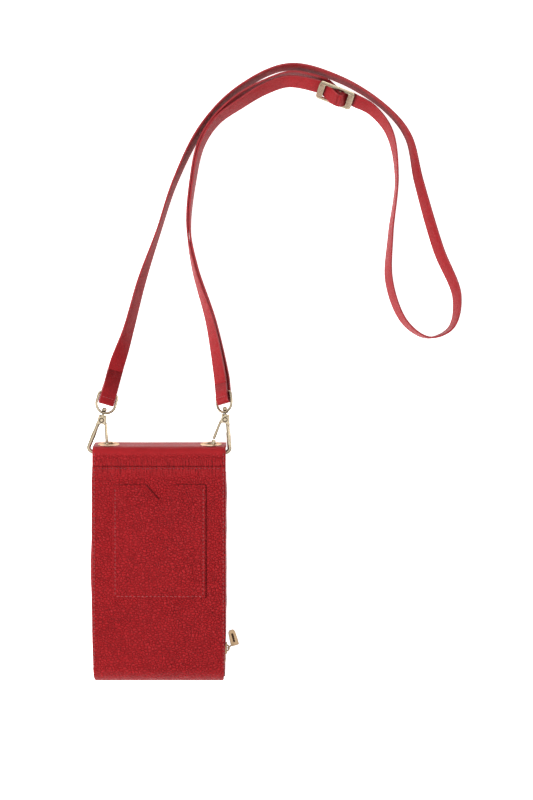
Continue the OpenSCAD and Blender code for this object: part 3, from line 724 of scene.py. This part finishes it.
def strap_end(side):
    """The strap doubled through the eye: one band round a fold, with two sewn rows."""
    word, matrix, end = side["word"], side["frame"], side["end"] - 0.02
    out_r = LAYER_Z + STRAP_T / 2
    cy = FOLD_Y + out_r
    if side is LEFT:
        sewn = LAYER_Z - STRAP_T + 0.02
        path = [(y, sewn) for y in (end, side["end"] - 4, side["end"] - 8)]
        for k in range(5):
            u = k / 4
            path.append((26.4 - 1.3 * k, sewn + (-LAYER_Z - sewn) * u * u * (3 - 2 * u)))
    else:
        path = [(end, -LAYER_Z)]
    path += [(cy + 3, -LAYER_Z), (cy, -LAYER_Z)]
    path += [(cy + s, c) for c, s in (polar(-LAYER_Z, a) for a in range(15, 180, 15))]
    path += [(cy, LAYER_Z), (end, LAYER_Z)]
    frames = band_frames(matrix, [Vector((0, y, z)) for y, z in path], Vector((1, 0, 0)), 1)
    settle(strap_mesh(f"{word}_sewn_end", frames), f"{word}_eye", f"{word}_strap_end")
    for k, z in enumerate((1, -1)):
        start, stop = (matrix @ Vector((x, cy + 2.4, z * out_r)) for x in (-4.9, 4.9))
        stitch_row(f"{word}_sewn_end_cross_stitches_{k}", start, stop, matrix.to_3x3() @ UP * z, f"{word}_eye",
                   2.4, 1.8, 0.26)


strap_end(LEFT)
strap_end(RIGHT)

# the strap's end round the adjuster's bar
wrap_r = ADJ_BAR + 0.15 + STRAP_T / 2
half = STRAP_T / 2 + 0.05
loop_path = [(LOOP_TAIL, -half), (wrap_r * 1.5, -half)] + [polar(wrap_r, a) for a in range(-50, -311, -20)]
loop_path += [(wrap_r * 1.5, half), (LOOP_TAIL, half)]
to_bar = shift(ADJ_BAR_S, 0, 0) @ rot("Y", -LOOP_LEAN)
loop_frames = band_frames(ADJ_PLACE, [to_bar @ Vector((s, 0, n)) for s, n in loop_path], Vector((0, 1, 0)), -1)
settle(strap_mesh("strap_loop_on_bar", loop_frames), "case", "strap_bar_loop")

# ---- adjuster

inner_x, inner_y = ADJ_L / 2 - ADJ_END, ADJ_W / 2 - ADJ_RAIL
adj_loops = [round_rect(-ADJ_L / 2, ADJ_L / 2, -ADJ_W / 2, ADJ_W / 2, 2.6),
             round_rect(-inner_x, inner_x, -inner_y, inner_y, 1.0)]
settle(plate("adjuster_frame_plate", adj_loops, -ADJ_T / 2, ADJ_T / 2, 0.55, [M_GOLD], ADJ_PLACE),
       "case", "adjuster_frame")

# ---- case shell


def rounded(half, low, r, y):
    """Half a sheet's width at y, with the corners at its low end cut round."""
    d = max(0.0, low + r - y)
    return half - r + math.sqrt(max(0.0, r * r - d * d))


def half_width(y):
    """The case narrows a little towards its bottom."""
    return rounded(HALF_W - 1.5 * min(1.0, max(0.0, (-52.0 - y) / 44.0)) ** 1.3, -TOP_Y, 2.2, y)


def swept_leather(name, outline, thickness, mats, width=half_width, edge=0.4, ripple=0.1):
    """Leather of even thickness along an outline in the side view (y, z), its outer face on the outline's right."""
    count = round(2 * HALF_W / SWEEP_STEP)
    m = count + 1
    verts, faces, kinds = [], [], []
    for i, (y, z) in enumerate(outline):
        (ay, az), (by, bz) = around(outline, i)
        d = math.hypot(by - ay, bz - az)
        ny, nz = (bz - az) / d, -(by - ay) / d
        row = [width(y) * (2 * k / count - 1) for k in range(m)]
        for x in row:
            d = ripple * (noise.noise(Vector((x * 0.05, y * 0.05, z * 0.08))) - 0.5)
            verts.append((x, y + ny * d, z + nz * d))
        verts += [(x, y - ny * thickness, z - nz * thickness) for x in row]
    last = 2 * m * (len(outline) - 1)
    for a in range(0, last, 2 * m):
        b = a + 2 * m
        for k in range(count):
            faces += [(a + k, a + k + 1, b + k + 1, b + k), (a + m + k, b + m + k, b + m + k + 1, a + m + k + 1)]
            kinds += [0, 2]
        for k in (0, count):
            faces.append((a + k, b + k, b + m + k, a + m + k))
            kinds.append(1)
    faces += [(a + k, a + k + 1, a + m + k + 1, a + m + k) for a in (0, last) for k in range(count)]
    kinds += [1] * 2 * count
    return soften(make(name, verts, faces, mats, kinds), edge)


def dense(points, step=3.0):
    return [(p.x, p.y) for p in resample([(a, b, 0) for a, b in points], step)]


LEATHER_MATS = [M_RED, M_EDGE, M_LINING]
panel = dense([(BAND_EDGE, CASE_T), (SHELL_CY, CASE_T)])
roll = arc(SHELL_CY, SHELL_CZ, SHELL_R, 90, 270, 26)[1:-1]
front = dense([(SHELL_CY, FRONT_Z), (FRONT_TOP, FRONT_Z)])
shell = swept_leather("case_shell", panel + roll + front, LEATHER, LEATHER_MATS)
thumb = tube("thumb_cutter", [(0, FRONT_TOP, 0), (0, FRONT_TOP, 3), (0, FRONT_TOP, 8)], 11.0, [M_EDGE], sides=64)


def cut(obj, *cutters):
    for c in cutters:
        mod = obj.modifiers.new("cut", "BOOLEAN")
        mod.operation, mod.solver, mod.object = "DIFFERENCE", "EXACT", c
    apply_modifiers(obj)
    for c in cutters:
        bpy.data.objects.remove(c)
    return obj


settle(cut(shell, thumb), "case", "shell_wrap", 38)

deg = math.degrees(LEAN)
flat_top = (FRONT_FOLD[0] + FRONT_R * LEAN_N[0], FRONT_FOLD[1] + FRONT_R * LEAN_N[1])
flat_end = (BACK_FOLD[0] + BACK_R * LEAN_N[0], BACK_FOLD[1] + BACK_R * LEAN_N[1])
fold = [(HINGE_Y + 0.3, 0)] + arc(*FRONT_FOLD, FRONT_R, -90, deg, 14)
fold += dense([flat_top, flat_end])[1:] + arc(*BACK_FOLD, BACK_R, deg, 90, 10)[1:]
fold += dense([(BACK_FOLD[0], PANEL_Z), (BAND_TUCK, PANEL_Z)])[1:]
spine = swept_leather("spine_leather", fold, LEATHER - 0.03, LEATHER_MATS, width=lambda y: HALF_W)


def grommet_place(side):
    return shift(side * GROMMET[0], GROMMET[1], GROMMET[2]) @ rot("X", deg - 90)


holes = [tube("hole_cutter", [grommet_place(s) @ Vector((0, 0, z)) for z in (-6, 0, 6)], GROMMET_R + 0.8, [M_EDGE],
              sides=48) for s in (-1, 1)]
settle(cut(spine, *holes), "case", "spine_band", 38)

# ---- card pocket


def pocket_outline(d):
    """The patch's outline drawn in by d mm, with its V notch; the same number of points for every d."""
    cx, hw, y1, y0 = POCKET_X, POCKET_HW - d, POCKET_TOP - d, POCKET_TOP - POCKET_H + d
    r = max(0.5, 2.4 - d)
    half = math.atan2(NOTCH_HW, NOTCH_DEPTH)
    mouth = NOTCH_HW + d * (math.cos(half) - (1 - math.sin(half)) * math.tan(half))
    apex = POCKET_TOP - NOTCH_DEPTH - d / math.sin(half)
    lip = [(mouth + 1.2, y1), (mouth + 0.1, y1 - 0.15), (mouth - 0.7, y1 - 0.9), (mouth * 0.5, (y1 + apex) / 2),
           (0.5, apex + 0.62)]
    return (arc(cx + hw - r, y0 + r, r, -90, 0, 7) + arc(cx + hw - r, y1 - r, r, 0, 90, 7)
            + [(cx + x, y) for x, y in lip] + [(cx, apex + 0.3)] + [(cx - x, y) for x, y in reversed(lip)]
            + arc(cx - hw + r, y1 - r, r, 90, 180, 7) + arc(cx - hw + r, y0 + r, r, 180, 270, 7))


def pocket():
    steps = [(0.25, 0.0), (0.0, 0.2), (0.0, 0.75), (0.12, 1.0), (0.45, 1.18), (1.0, 1.22), (1.6, 1.15), (2.05, 0.92),
             (2.5, 1.15), (3.2, 1.24), (5.0, 1.3)]
    rings = [[(x, y, CASE_T + h) for x, y in pocket_outline(d)] for d, h in steps]
    verts, faces = skin(rings)
    kinds = [1 if i // len(rings[0]) < 3 else 0 for i in range(len(faces) - 2)] + [2, 0]
    return make("card_pocket_patch", verts, faces, LEATHER_MATS, kinds)


settle(pocket(), "case", "card_pocket", 60)


def case_stitches(name, start, end, pitch=3.5, length=2.4, radius=0.32, mat=M_THREAD):
    stitch_row(name, start, end, UP, "case", pitch, length, radius, mat)


row = [Vector((x, y, CASE_T + 0.96)) for x, y in ((-34.8, 60.5), (-34.8, -26.7), (35.6, -26.7), (35.6, 60.5))]
for i, (a, b) in enumerate(zip(row, row[1:])):
    case_stitches(f"pocket_stitches_{i}", a.lerp(b, 0.01), b.lerp(a, 0.01), 3.3, 2.3, 0.3)
for i, x in enumerate((-51.6, 51.6)):
    case_stitches(f"side_stitches_{i}", (x, BAND_EDGE - 1.2, CASE_T), (x, SHELL_CY, CASE_T))
    case_stitches(f"band_side_stitches_{i}", (x, BACK_FOLD[0] + 1.0, PANEL_Z), (x, BAND_EDGE + 0.8, PANEL_Z))
# the band's seam uses the darker thread, painted shade along the seam
case_stitches("band_edge_stitches", (-49.5, BAND_EDGE - 1.5, CASE_T), (49.5, BAND_EDGE - 1.5, CASE_T),
              radius=0.24, mat=M_SHADED_THREAD)

# ---- gussets


def gusset(name, side, z0, z1, top, bow, node):
    """A soft side wall that bows out between the panels, tapering into the rolled bottom."""
    r_in = SHELL_R - LEATHER - 0.15
    rings, y = [], -93.0
    while y <= top + 1e-6:
        h = math.sqrt(max(0.0, r_in ** 2 - min(0.0, y - SHELL_CY) ** 2))
        lo, hi = max(z0, SHELL_CZ - h), min(z1, SHELL_CZ + h)
        if hi - lo > 1.2:
            swell = bow * (0.35 + 0.65 * min(1.0, max(0.0, (y + 62.0) / 32.0))) * min(1.0, (hi - lo) / (z1 - z0))
            swell *= 0.86 + 0.30 * noise.noise(Vector((y * 0.045, side * 7.0, z0)))
            swell *= 1 - 0.45 * max(0.0, (y - top + 14) / 14)
            ring = []
            for k in range(13):
                t = k / 12
                wrinkle = 0.12 * noise.noise(Vector((y * 0.25, t * 3, side)))
                x = HALF_W - 1.05 + swell * math.sin(math.pi * t) ** 0.75 + wrinkle
                ring.append((side * x, y, lo + (hi - lo) * t))
            rings.append(ring)
        y += 2.5
    obj = make(name, *skin(rings, closed_ring=False, caps=False), [M_RED, M_LINING, M_EDGE])
    mod = obj.modifiers.new("wall", "SOLIDIFY")
    mod.thickness, mod.offset, mod.material_offset, mod.material_offset_rim = 0.9 * MM, -1.0, 1, 2
    if obj.data.polygons[len(obj.data.polygons) // 2].normal.x * side < 0:
        obj.data.flip_normals()
    settle(apply_modifiers(obj), "case", node, 50)


gusset("left_gusset_phone", -1, INNER_Z + 0.1, DIVIDER_Z - 0.1, 74.0, 2.3, "left_phone_gusset")
gusset("left_gusset_wallet", -1, DIVIDER_Z + DIVIDER_T + 0.1, PANEL_Z - 0.1, 80.0, 2.7, "left_wallet_gusset")
gusset("right_gusset_phone", 1, INNER_Z + 0.1, DIVIDER_Z - 0.1, 74.0, 1.7, "right_phone_gusset")

# ---- linings, divider and card slots


def sheet(name, corners, z, node, body="case", thick=LINING_T, bevel=0.12):
    settle(plate(name, [round_rect(*corners)], z, z + thick, bevel, [M_LINING]), body, node)


sheet("divider_board", (-52.5, 50.5, SHELL_CY - 8.6, 78, 1.5), DIVIDER_Z, "divider", thick=DIVIDER_T, bevel=0.3)
sheet("phone_side_lining", (-48.5, 48.5, SHELL_CY, 54, 3), INNER_Z + 0.05, "phone_lining")
sheet("wallet_side_lining", (-48.5, 48.5, SHELL_CY, BAND_TUCK - 2, 3), PANEL_Z - 0.55, "wallet_lining")
for i in (1, 2, 3):
    z = DIVIDER_Z + DIVIDER_T + 0.1 + (i - 1) * 0.6
    sheet(f"card_slot_leaf_{i}", (-42, 42, -80, 62 - 13 * i, 3), z, f"card_slot_{i}")

# ---- flap

flap_line = dense([(FLAP_LOW, 0), (HINGE_Y - 9, 0)], 4.0) + dense([(HINGE_Y - 8, 0), (HINGE_Y + 0.26, 0)], 0.9)


def flap_width(y):
    return rounded(HALF_W - 0.5, FLAP_LOW, 3.0, y)


flap = swept_leather("front_flap_leather", flap_line, FLAP_T, [M_RED, M_EDGE, M_RED], flap_width, 0.3, 0.0)
flap.data.set_sharp_from_angle(angle=math.radians(38))
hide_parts("front_flap")
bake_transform(flap)
sheet("flap_lining_sheet", (-50.5, 50.5, FLAP_LOW + 3, HINGE_Y - 9, 4), FLAP_T, "flap_lining", body="flap")
edge_row = [(x, y, FLAP_T + LINING_T) for x, y in ((-49.1, 80.0), (-49.1, -81.4), (49.1, -81.4), (49.1, 80.0))]
for i, (a, b) in enumerate(zip(edge_row, edge_row[1:])):
    stitch_row(f"flap_stitches_{i}", a, b, UP, "flap", 3.5, 2.4, 0.25)


def snap_disc(name, z0, face, body, node):
    """Thin magnetic snap half with a raised rim and a centre dimple; face is 1 or -1 for the side of its mate."""
    h = 0.55
    profile = [(0, 0), (6.6, 0), (7.0, 0.12), (7.0, 0.4), (6.8, h), (6.2, h), (5.9, h - 0.12), (3.2, h - 0.12),
               (2.9, h), (2.3, h), (2.1, h - 0.3), (0, h - 0.3)]
    place = shift(0, -68, z0) if face > 0 else shift(0, -68, z0 + h) @ rot("X", 180)
    settle(lathe(name, profile, [M_GOLD], place), body, node, 50)


snap_disc("snap_cap_disc", FLAP_T + LINING_T, 1, "flap", "snap_cap")
snap_disc("snap_socket_disc", FRONT_Z - 0.55, -1, "case", "snap_socket")

# ---- zip


def zip_path(step):
    c = (ZIP_X - ZIP_R, ZIP_TOP - ZIP_R)
    pts = [(ZIP_X, ZIP_LOW)] + arc(*c, ZIP_R, 0, 90, 24) + [(ZIP_LEFT, ZIP_TOP)]
    return resample([Vector((x, y, 0)) for x, y in pts], step)


def zip_tape(name, z0, z1, node):
    """Woven tape, a strip on edge along the zip's line, slightly bowed."""
    path = zip_path(2.0)
    section = ((0.25, z0), (0.25, (z0 + z1) / 2), (0.25, z1), (-0.25, z1), (-0.25, z0))
    rings = []
    for i, p in enumerate(path):
        a, b = around(path, i)
        n = (b - a).normalized().cross(UP)
        rings.append([p + n * o + UP * z for o, z in section])
    settle(make(name, *skin(rings), [M_TAPE]), "case", node, 40)


def zip_teeth(name, side, node):
    """A row of metal teeth: each a waisted, rounded block clamped on the tape that reaches between its neighbours."""
    path = zip_path(1.7 / 2)
    shape = [(-0.62, 0.95, 2.35), (-0.5, 1.0, 1.5), (-0.36, 0.8, 0.9), (-0.36, 0.72, 0.1), (-0.46, 0.78, -0.35),
             (-0.3, 0.55, -0.75)]
    teeth = []
    for i in range(2 if side > 0 else 3, len(path) - 2, 2):
        t = (path[i + 1] - path[i - 1]).normalized()
        n = t.cross(UP)
        rings = []
        for half, depth, z in shape:
            c = path[i] + UP * (ZIP_Z + side * z)
            ch = min(0.18, -half * 0.4)
            loop = [(half, depth - ch), (half + ch, depth), (-half - ch, depth), (-half, depth - ch),
                    (-half, ch - depth), (-half - ch, -depth), (half + ch, -depth), (half, ch - depth)]
            rings.append([c + t * a + n * b for a, b in loop])
        teeth.append(rings)
    settle(make(name, *skins(teeth), [M_ZIP]), "case", node, 35)


zip_tape("zip_tape_at_back", ZIP_Z + 1.4, PANEL_Z - 0.1, "zip_tape_back")
zip_tape("zip_tape_at_front", DIVIDER_Z + DIVIDER_T + 0.1, ZIP_Z - 1.4, "zip_tape_front")
zip_teeth("zip_teeth_at_back", 1, "zip_teeth_back")
zip_teeth("zip_teeth_at_front", -1, "zip_teeth_front")


def zip_stop(name, x, y, axis, node):
    place = shift(x, y, ZIP_Z) @ rot(axis, 90)
    block = plate(name, [round_rect(-1.3, 1.3, -1.4, 1.4, 0.4, 3)], -0.9, 0.9, 0.3, [M_ZIP], place)
    settle(block, "case", node)


zip_stop("zip_stop_low", ZIP_X, ZIP_LOW - 1.1, "X", "zip_bottom_stop")
zip_stop("zip_stop_high", ZIP_LEFT - 1.1, ZIP_TOP, "Y", "zip_top_stop")

SLIDER_OUT = ZIP_X + 1.35
PULL_X = SLIDER_OUT + 1.0 + 0.7
slider_shape = [(-4.5, -2.2), (-4.0, -2.7), (-1.0, -2.9), (2.6, -3.3), (4.0, -3.1), (4.5, -2.4), (4.4, -0.6), (3.9, 0),
                (4.4, 0.6), (4.5, 2.4), (4.0, 3.1), (2.6, 3.3), (-1.0, 2.9), (-4.0, 2.7), (-4.5, 2.2)]


def slider_plate_place(x):
    """A plate drawn as (along the zip, across it) with its thickness along x."""
    return shift(x, SLIDER_Y, ZIP_Z) @ Matrix(((0, 0, 1, 0), (1, 0, 0, 0), (0, 1, 0, 0), (0, 0, 0, 1)))


parts = [plate("outer", [slider_shape], 0, 1.0, 0.35, [M_ZIP], slider_plate_place(SLIDER_OUT)),
         plate("inner", [slider_shape], 0, 1.0, 0.35, [M_ZIP], slider_plate_place(ZIP_X - 2.35))]
wall = [(-4.3, -0.35), (3.0, -0.55), (3.2, 0.35), (-4.3, 0.4)]
for s in (-1, 1):
    parts.append(plate("wall", [[(a, s * (2.55 + b)) for a, b in wall]], -0.75, 0.3, 0.12, [M_ZIP],
                       slider_plate_place(SLIDER_OUT)))
bridge = [(0.8, -2.3)] + [(0.9 + polar(1.75, a)[1], -polar(2.2, a)[0]) for a in range(15, 180, 15)] + [(0.8, 2.3)]
parts.append(tube("bridge", [(SLIDER_OUT + x, SLIDER_Y + y, ZIP_Z) for x, y in bridge], 0.62, [M_ZIP], sides=14))
settle(join("zip_slider_body", parts), "slider", "zip_slider", 35)

pull_place = shift(PULL_X, SLIDER_Y, ZIP_Z)
plate_place = pull_place @ shift(4.2, 8.2, 0) @ rot("Z", 14.8)
blade = [(-2.6, -6.4), (2.6, -6.4), (3.3, -5.7), (3.15, 0), (2.75, 5.0), (1.6, 6.5), (-1.6, 6.5), (-2.75, 5.0),
         (-3.15, 0), (-3.3, -5.7)]
slot_loop = round_rect(-0.7, 0.7, -3.5, 3.5, 0.65, 5)


def pull_wire(name, points, radius, sides):
    return tube(name, [pull_place @ Vector(p) for p in points], radius, [M_ZIP], sides=sides)


# the recess is a dark sheet filling the blade's slot: painted shade where the slot is open
parts = [plate("blade", [blade, slot_loop], -0.65, 0.65, 0.32, [M_ZIP], plate_place),
         plate("recess", [slot_loop], -0.2, 0.2, 0.02, [M_PAINTED_SHADE], plate_place)]
reach = Vector((3.4, 2.6, 0)).normalized()
for s in (-1, 1):
    arm = [reach * d + UP * (s * z) for d, z in ((0, 1.3), (1.6, 1.3), (3.0, 0.95), (4.3, 0.3))]
    parts.append(pull_wire("arm", resample(arm, 0.4), 0.42, 12))
parts.append(pull_wire("pin", [(0, 0, z) for z in (-1.5, -1.45, 0, 1.45, 1.5)], [0.3, 0.46, 0.46, 0.46, 0.3], 14))
parts.append(pull_wire("neck", [(3.0, 2.3, 0), (4.0, 2.75, 0), (5.2, 3.2, 0)], [0.7, 0.85, 0.6], 12))
settle(join("zip_pull_tab", parts), "pull", "zip_pull", 35)

# ---- grommets

for side, word in ((-1, "left"), (1, "right")):
    place = grommet_place(side)
    rim = [(GROMMET_R, -LEATHER - WASHER_T), (GROMMET_R, 0.2)]
    rim += [(polar(1.15, a, 6.15)[0], polar(0.95, a, 0, 0.05)[1]) for a in range(165, 60, -15)]
    rim += [(7.4, 0.78), (8.2, 0.52), (8.62, 0.3), (FLANGE_R, 0.1), (8.7, 0.0), (BARREL_R, 0.0),
            (BARREL_R, -LEATHER - WASHER_T)]
    settle(lathe(f"{word}_grommet_ring", rim, [M_RIM], place), "case", f"{word}_grommet", 50)
    ring = [(5.77, -2.25), (7.2, -2.25), (7.3, -2.1), (7.3, -1.82), (5.77, -1.82)]
    settle(lathe(f"{word}_washer_ring", ring, [M_RIM], place), "case", f"{word}_grommet_washer", 50)

# ---- clasps


def smooth_loop(points, n=5):
    """A closed outline made smooth through its corners."""
    out = []
    for i in range(len(points)):
        a, b, c, d = (Vector(points[(i + k) % len(points)]) for k in (-1, 0, 1, 2))
        for k in range(n):
            u = k / n
            q = 0.5 * (2 * b + (c - a) * u + (2 * a - 5 * b + 4 * c - d) * u * u + (3 * b - a - 3 * c + d) * u ** 3)
            out.append((q.x, q.y))
    return out


def clasp(side):
    """A trigger snap hook, drawn with its outer leg at +x, and its swivel eye. The left one is mirrored."""
    word, eye_place = side["word"], side["frame"]
    flip = Matrix.Scale(-1, 4, (1, 0, 0)) if side["gate"] > 0 else Matrix.Identity(4)
    place = shift(*side["swivel"]) @ rot("Z", -side["lean"]) @ flip
    pivot = place @ shift(0, PIVOT_Y, 0)
    along_y = rot("X", -90)

    def wire(points, radius, name="wire"):
        return tube(name, [place @ Vector((*p, 0)) for p in points], radius, [M_GOLD], sides=20)

    def between(a, b, step):
        """Points at even steps from a to b, without a itself."""
        return [(p.x, p.y) for p in resample([(*a, 0), (*b, 0)], step)][1:]

    knee, ankle = (2.6, -7.2), (6.6, -26.5)
    leg = [(2.3, -5.2), knee] + between(knee, ankle, 1.5) + arc(3.1, -26.5, 3.5, 0, -90, 9)[1:]
    leg += arc(-3.4, -26.5, 3.5, -90, -180, 9) + [(-6.9, -23.4), (-6.9, -21.6), (-6.9, -21.25), (-6.9, -21.1)]
    radii = [1.62 + 0.35 * min(1.0, max(0.0, (y + 26.5) / 19.3)) if x > 4 else 1.5 for x, y in leg]
    radii[1] = 1.75
    radii[0], radii[-1], radii[-2], radii[-3] = 1.35, 1.2, 1.4, 1.47
    parts = [wire(leg, radii)]
    cheek = smooth_loop([(-2.7, -0.6), (0, -0.5), (2.7, -0.6), (3.3, -3.0), (3.5, -5.4), (3.9, -8.3), (1.6, -7.5),
                         (-0.4, -6.5), (-3.2, -7.0), (-3.5, -5.0), (-3.2, -2.6)])
    for z0, z1 in ((1.3, 2.5), (-2.5, -1.3)):
        parts.append(plate("cheek", [cheek], z0, z1, 0.4, [M_GOLD], place))
    # a dark ring round the pin's head: painted shade of the gap there
    groove = [(1.5, 2.3), (2.1, 2.3), (2.1, 2.54), (1.5, 2.54)]
    parts.append(lathe("groove", groove, [M_PAINTED_SHADE], pivot, 32))
    head = smooth_loop([(-2.7, -0.5), (0, -0.45), (2.7, -0.5), (2.9, -2.1), (0, -2.15), (-2.9, -2.1)], 3)
    parts.append(plate("head", [head], -1.4, 1.4, 0.1, [M_GOLD], place))
    collar = [(1.33, -1.2), (2.8, -1.2), (3.1, -1.05), (3.2, -0.7), (3.2, 0.25), (3.1, 0.55), (2.8, 0.7), (1.6, 0.7),
              (1.38, 0.6), (1.33, 0.4)]
    parts.append(lathe("collar", collar, [M_GOLD], place @ along_y))
    settle(join(f"{word}_hook_body", parts), "case", f"{word}_hook", 40)

    # gate: an eye on the pin and a tapered bar with a thumb swell
    shoulder, tip = (-3.4, -5.6), (-6.9, -19.5)
    bar = [(-1.2, PIVOT_Y - 0.5), (-2.4, -4.75), (-3.3, -5.5)] + between(shoulder, tip, 1.4)
    bar += [(-6.98, -20.15), (-7.0, -20.5)]
    radii = [1.08 + 0.14 * math.exp(-((y + 16.3) / 2.6) ** 2) for x, y in bar]
    radii[0], radii[1], radii[-1], radii[-2] = 0.78, 0.84, 0.8, 0.98
    ring = [(0.85, -0.85), (1.35, -0.85), (1.5, -0.7), (1.5, 0.7), (1.35, 0.85), (0.85, 0.85)]
    parts = [wire(bar, radii, "bar"), lathe("ring", ring, [M_GOLD], pivot, 32)]
    settle(join(f"{word}_gate_bar", parts), f"{word}_gate", f"{word}_gate", 40)

    pin = [(0, -2.87), (1.1, -2.85), (1.35, -2.7), (1.4, -2.52), (0.8, -2.5), (0.8, 2.5), (1.4, 2.52), (1.35, 2.7),
           (1.1, 2.85), (0, 2.87)]
    settle(lathe(f"{word}_pin", pin, [M_GOLD], pivot, 32), "case", f"{word}_gate_pin", 45)
    coil = [pivot @ Vector((1.25 * math.cos(a), 1.25 * math.sin(a), 1.06 + 0.1 * a / 6.3))
            for a in [0.35 * k - 2.4 for k in range(22)]]
    settle(tube(f"{word}_spring_wire", coil, 0.1, [M_STEEL], sides=8), "case", f"{word}_gate_spring")

    def ball(radius, y, angles):
        return [(s, y - c) for c, s in (polar(radius, a) for a in angles)]

    head = [(0, BALL_Y - 1.45)] + ball(1.45, BALL_Y, range(20, 145, 15)) + [(0.85, 0.75), (0.85, 3.2)]
    head += ball(2.0, 4.95, range(30, 180, 12)) + [(0, 6.95)]
    stud = lathe(f"{word}_stud_ball", head, [M_GOLD], eye_place @ along_y, 40)
    settle(stud, "case", f"{word}_stud", 50)

    loop = arc(0, EYE_MID, EYE_R, 180, 360, 28)
    loop += arc(EYE_R - EYE_CORNER, EYE_TOP - EYE_CORNER, EYE_CORNER, 0, 90, 8)
    loop += arc(EYE_CORNER - EYE_R, EYE_TOP - EYE_CORNER, EYE_CORNER, 90, 180, 8)
    ring = [eye_place @ p for p in resample([(x, y, 0) for x, y in loop + loop[:1]], 1.0)[:-1]]
    boss = [(0.93, 1.7), (1.9, 1.7), (2.3, 1.85), (2.42, 2.2), (2.3, 2.7), (1.9, 3.1), (1.3, 3.2), (0.93, 3.1)]
    parts = [tube("loop", ring, EYE_WIRE, [M_GOLD], closed=True, sides=18),
             lathe("boss", boss, [M_GOLD], eye_place @ along_y, 40)]
    settle(join(f"{word}_eye_loop", parts), f"{word}_eye", f"{word}_eye", 50)


clasp(LEFT)
clasp(RIGHT)

bar = tube("adjuster_centre_bar", [ADJ_PLACE @ Vector((ADJ_BAR_S, y, 0)) for y in (-6.5, -6.4, 0, 6.4, 6.5)],
           [1.05, ADJ_BAR, ADJ_BAR, ADJ_BAR, 1.05], [M_GOLD], sides=24)
settle(bar, "case", "adjuster_bar")

# ---- floor, light and surroundings


FLOOR_HALF, FLOOR_Z = 6000, -0.4
paint = Nodes("pale_floor")
paint.set(base_color=(0.93, 0.93, 0.93), roughness=0.9, specular_ior_level=0.1, emission_color=(1, 1, 1),
          emission_strength=0.92)
floor = make("floor", [(x * FLOOR_HALF, y * FLOOR_HALF, FLOOR_Z) for x, y in ((-1, -1), (1, -1), (1, 1), (-1, 1))],
             [(0, 1, 2, 3)], [paint.mat])


def area(name, at, aim, size, power):
    data = bpy.data.lights.new(name, "AREA")
    data.shape, data.size, data.size_y, data.energy = "RECTANGLE", size[0], size[1], power
    obj = add_object(name, data)
    obj.location = at
    obj.rotation_euler = (Vector(aim) - Vector(at)).to_track_quat("-Z", "Y").to_euler()
    return obj


AIM = (0.06, 0.12, 0)
# the key is too small and bright to be mirrored in the fittings; they mirror the room instead
area("key", (-1.35, -0.4, 1.45), AIM, (0.7, 0.9), 55).visible_glossy = False
area("gloss", (-1.35, -0.4, 1.45), AIM, (0.7, 0.9), 16).visible_diffuse = False
area("side", (1.5, 0.4, 0.8), AIM, (0.5, 1.4), 5)
area("top", (0.0, 1.5, 0.9), AIM, (1.6, 0.5), 2)

WORLD_STOPS = [(0.0, 0.75), (0.22, 0.62), (0.34, 0.06), (0.66, 0.06), (0.84, 0.72), (1.0, 0.9)]
world = bpy.data.worlds.new("studio")
world.use_nodes = True
scene.world = world
tree = world.node_tree
coord = tree.nodes.new("ShaderNodeTexCoord")
sep = tree.nodes.new("ShaderNodeSeparateXYZ")
ramp = tree.nodes.new("ShaderNodeValToRGB")
while len(ramp.color_ramp.elements) < len(WORLD_STOPS):
    ramp.color_ramp.elements.new(0.5)
for stop, (pos, grey) in zip(ramp.color_ramp.elements, WORLD_STOPS):
    stop.position = pos
    stop.color = (grey, grey, grey, 1)
tree.links.new(coord.outputs["Generated"], sep.inputs[0])
tree.links.new(sep.outputs[2], ramp.inputs[0])
tree.links.new(ramp.outputs[0], tree.nodes["Background"].inputs[0])
scene.view_settings.view_transform = "Standard"
scene.view_settings.look = "None"
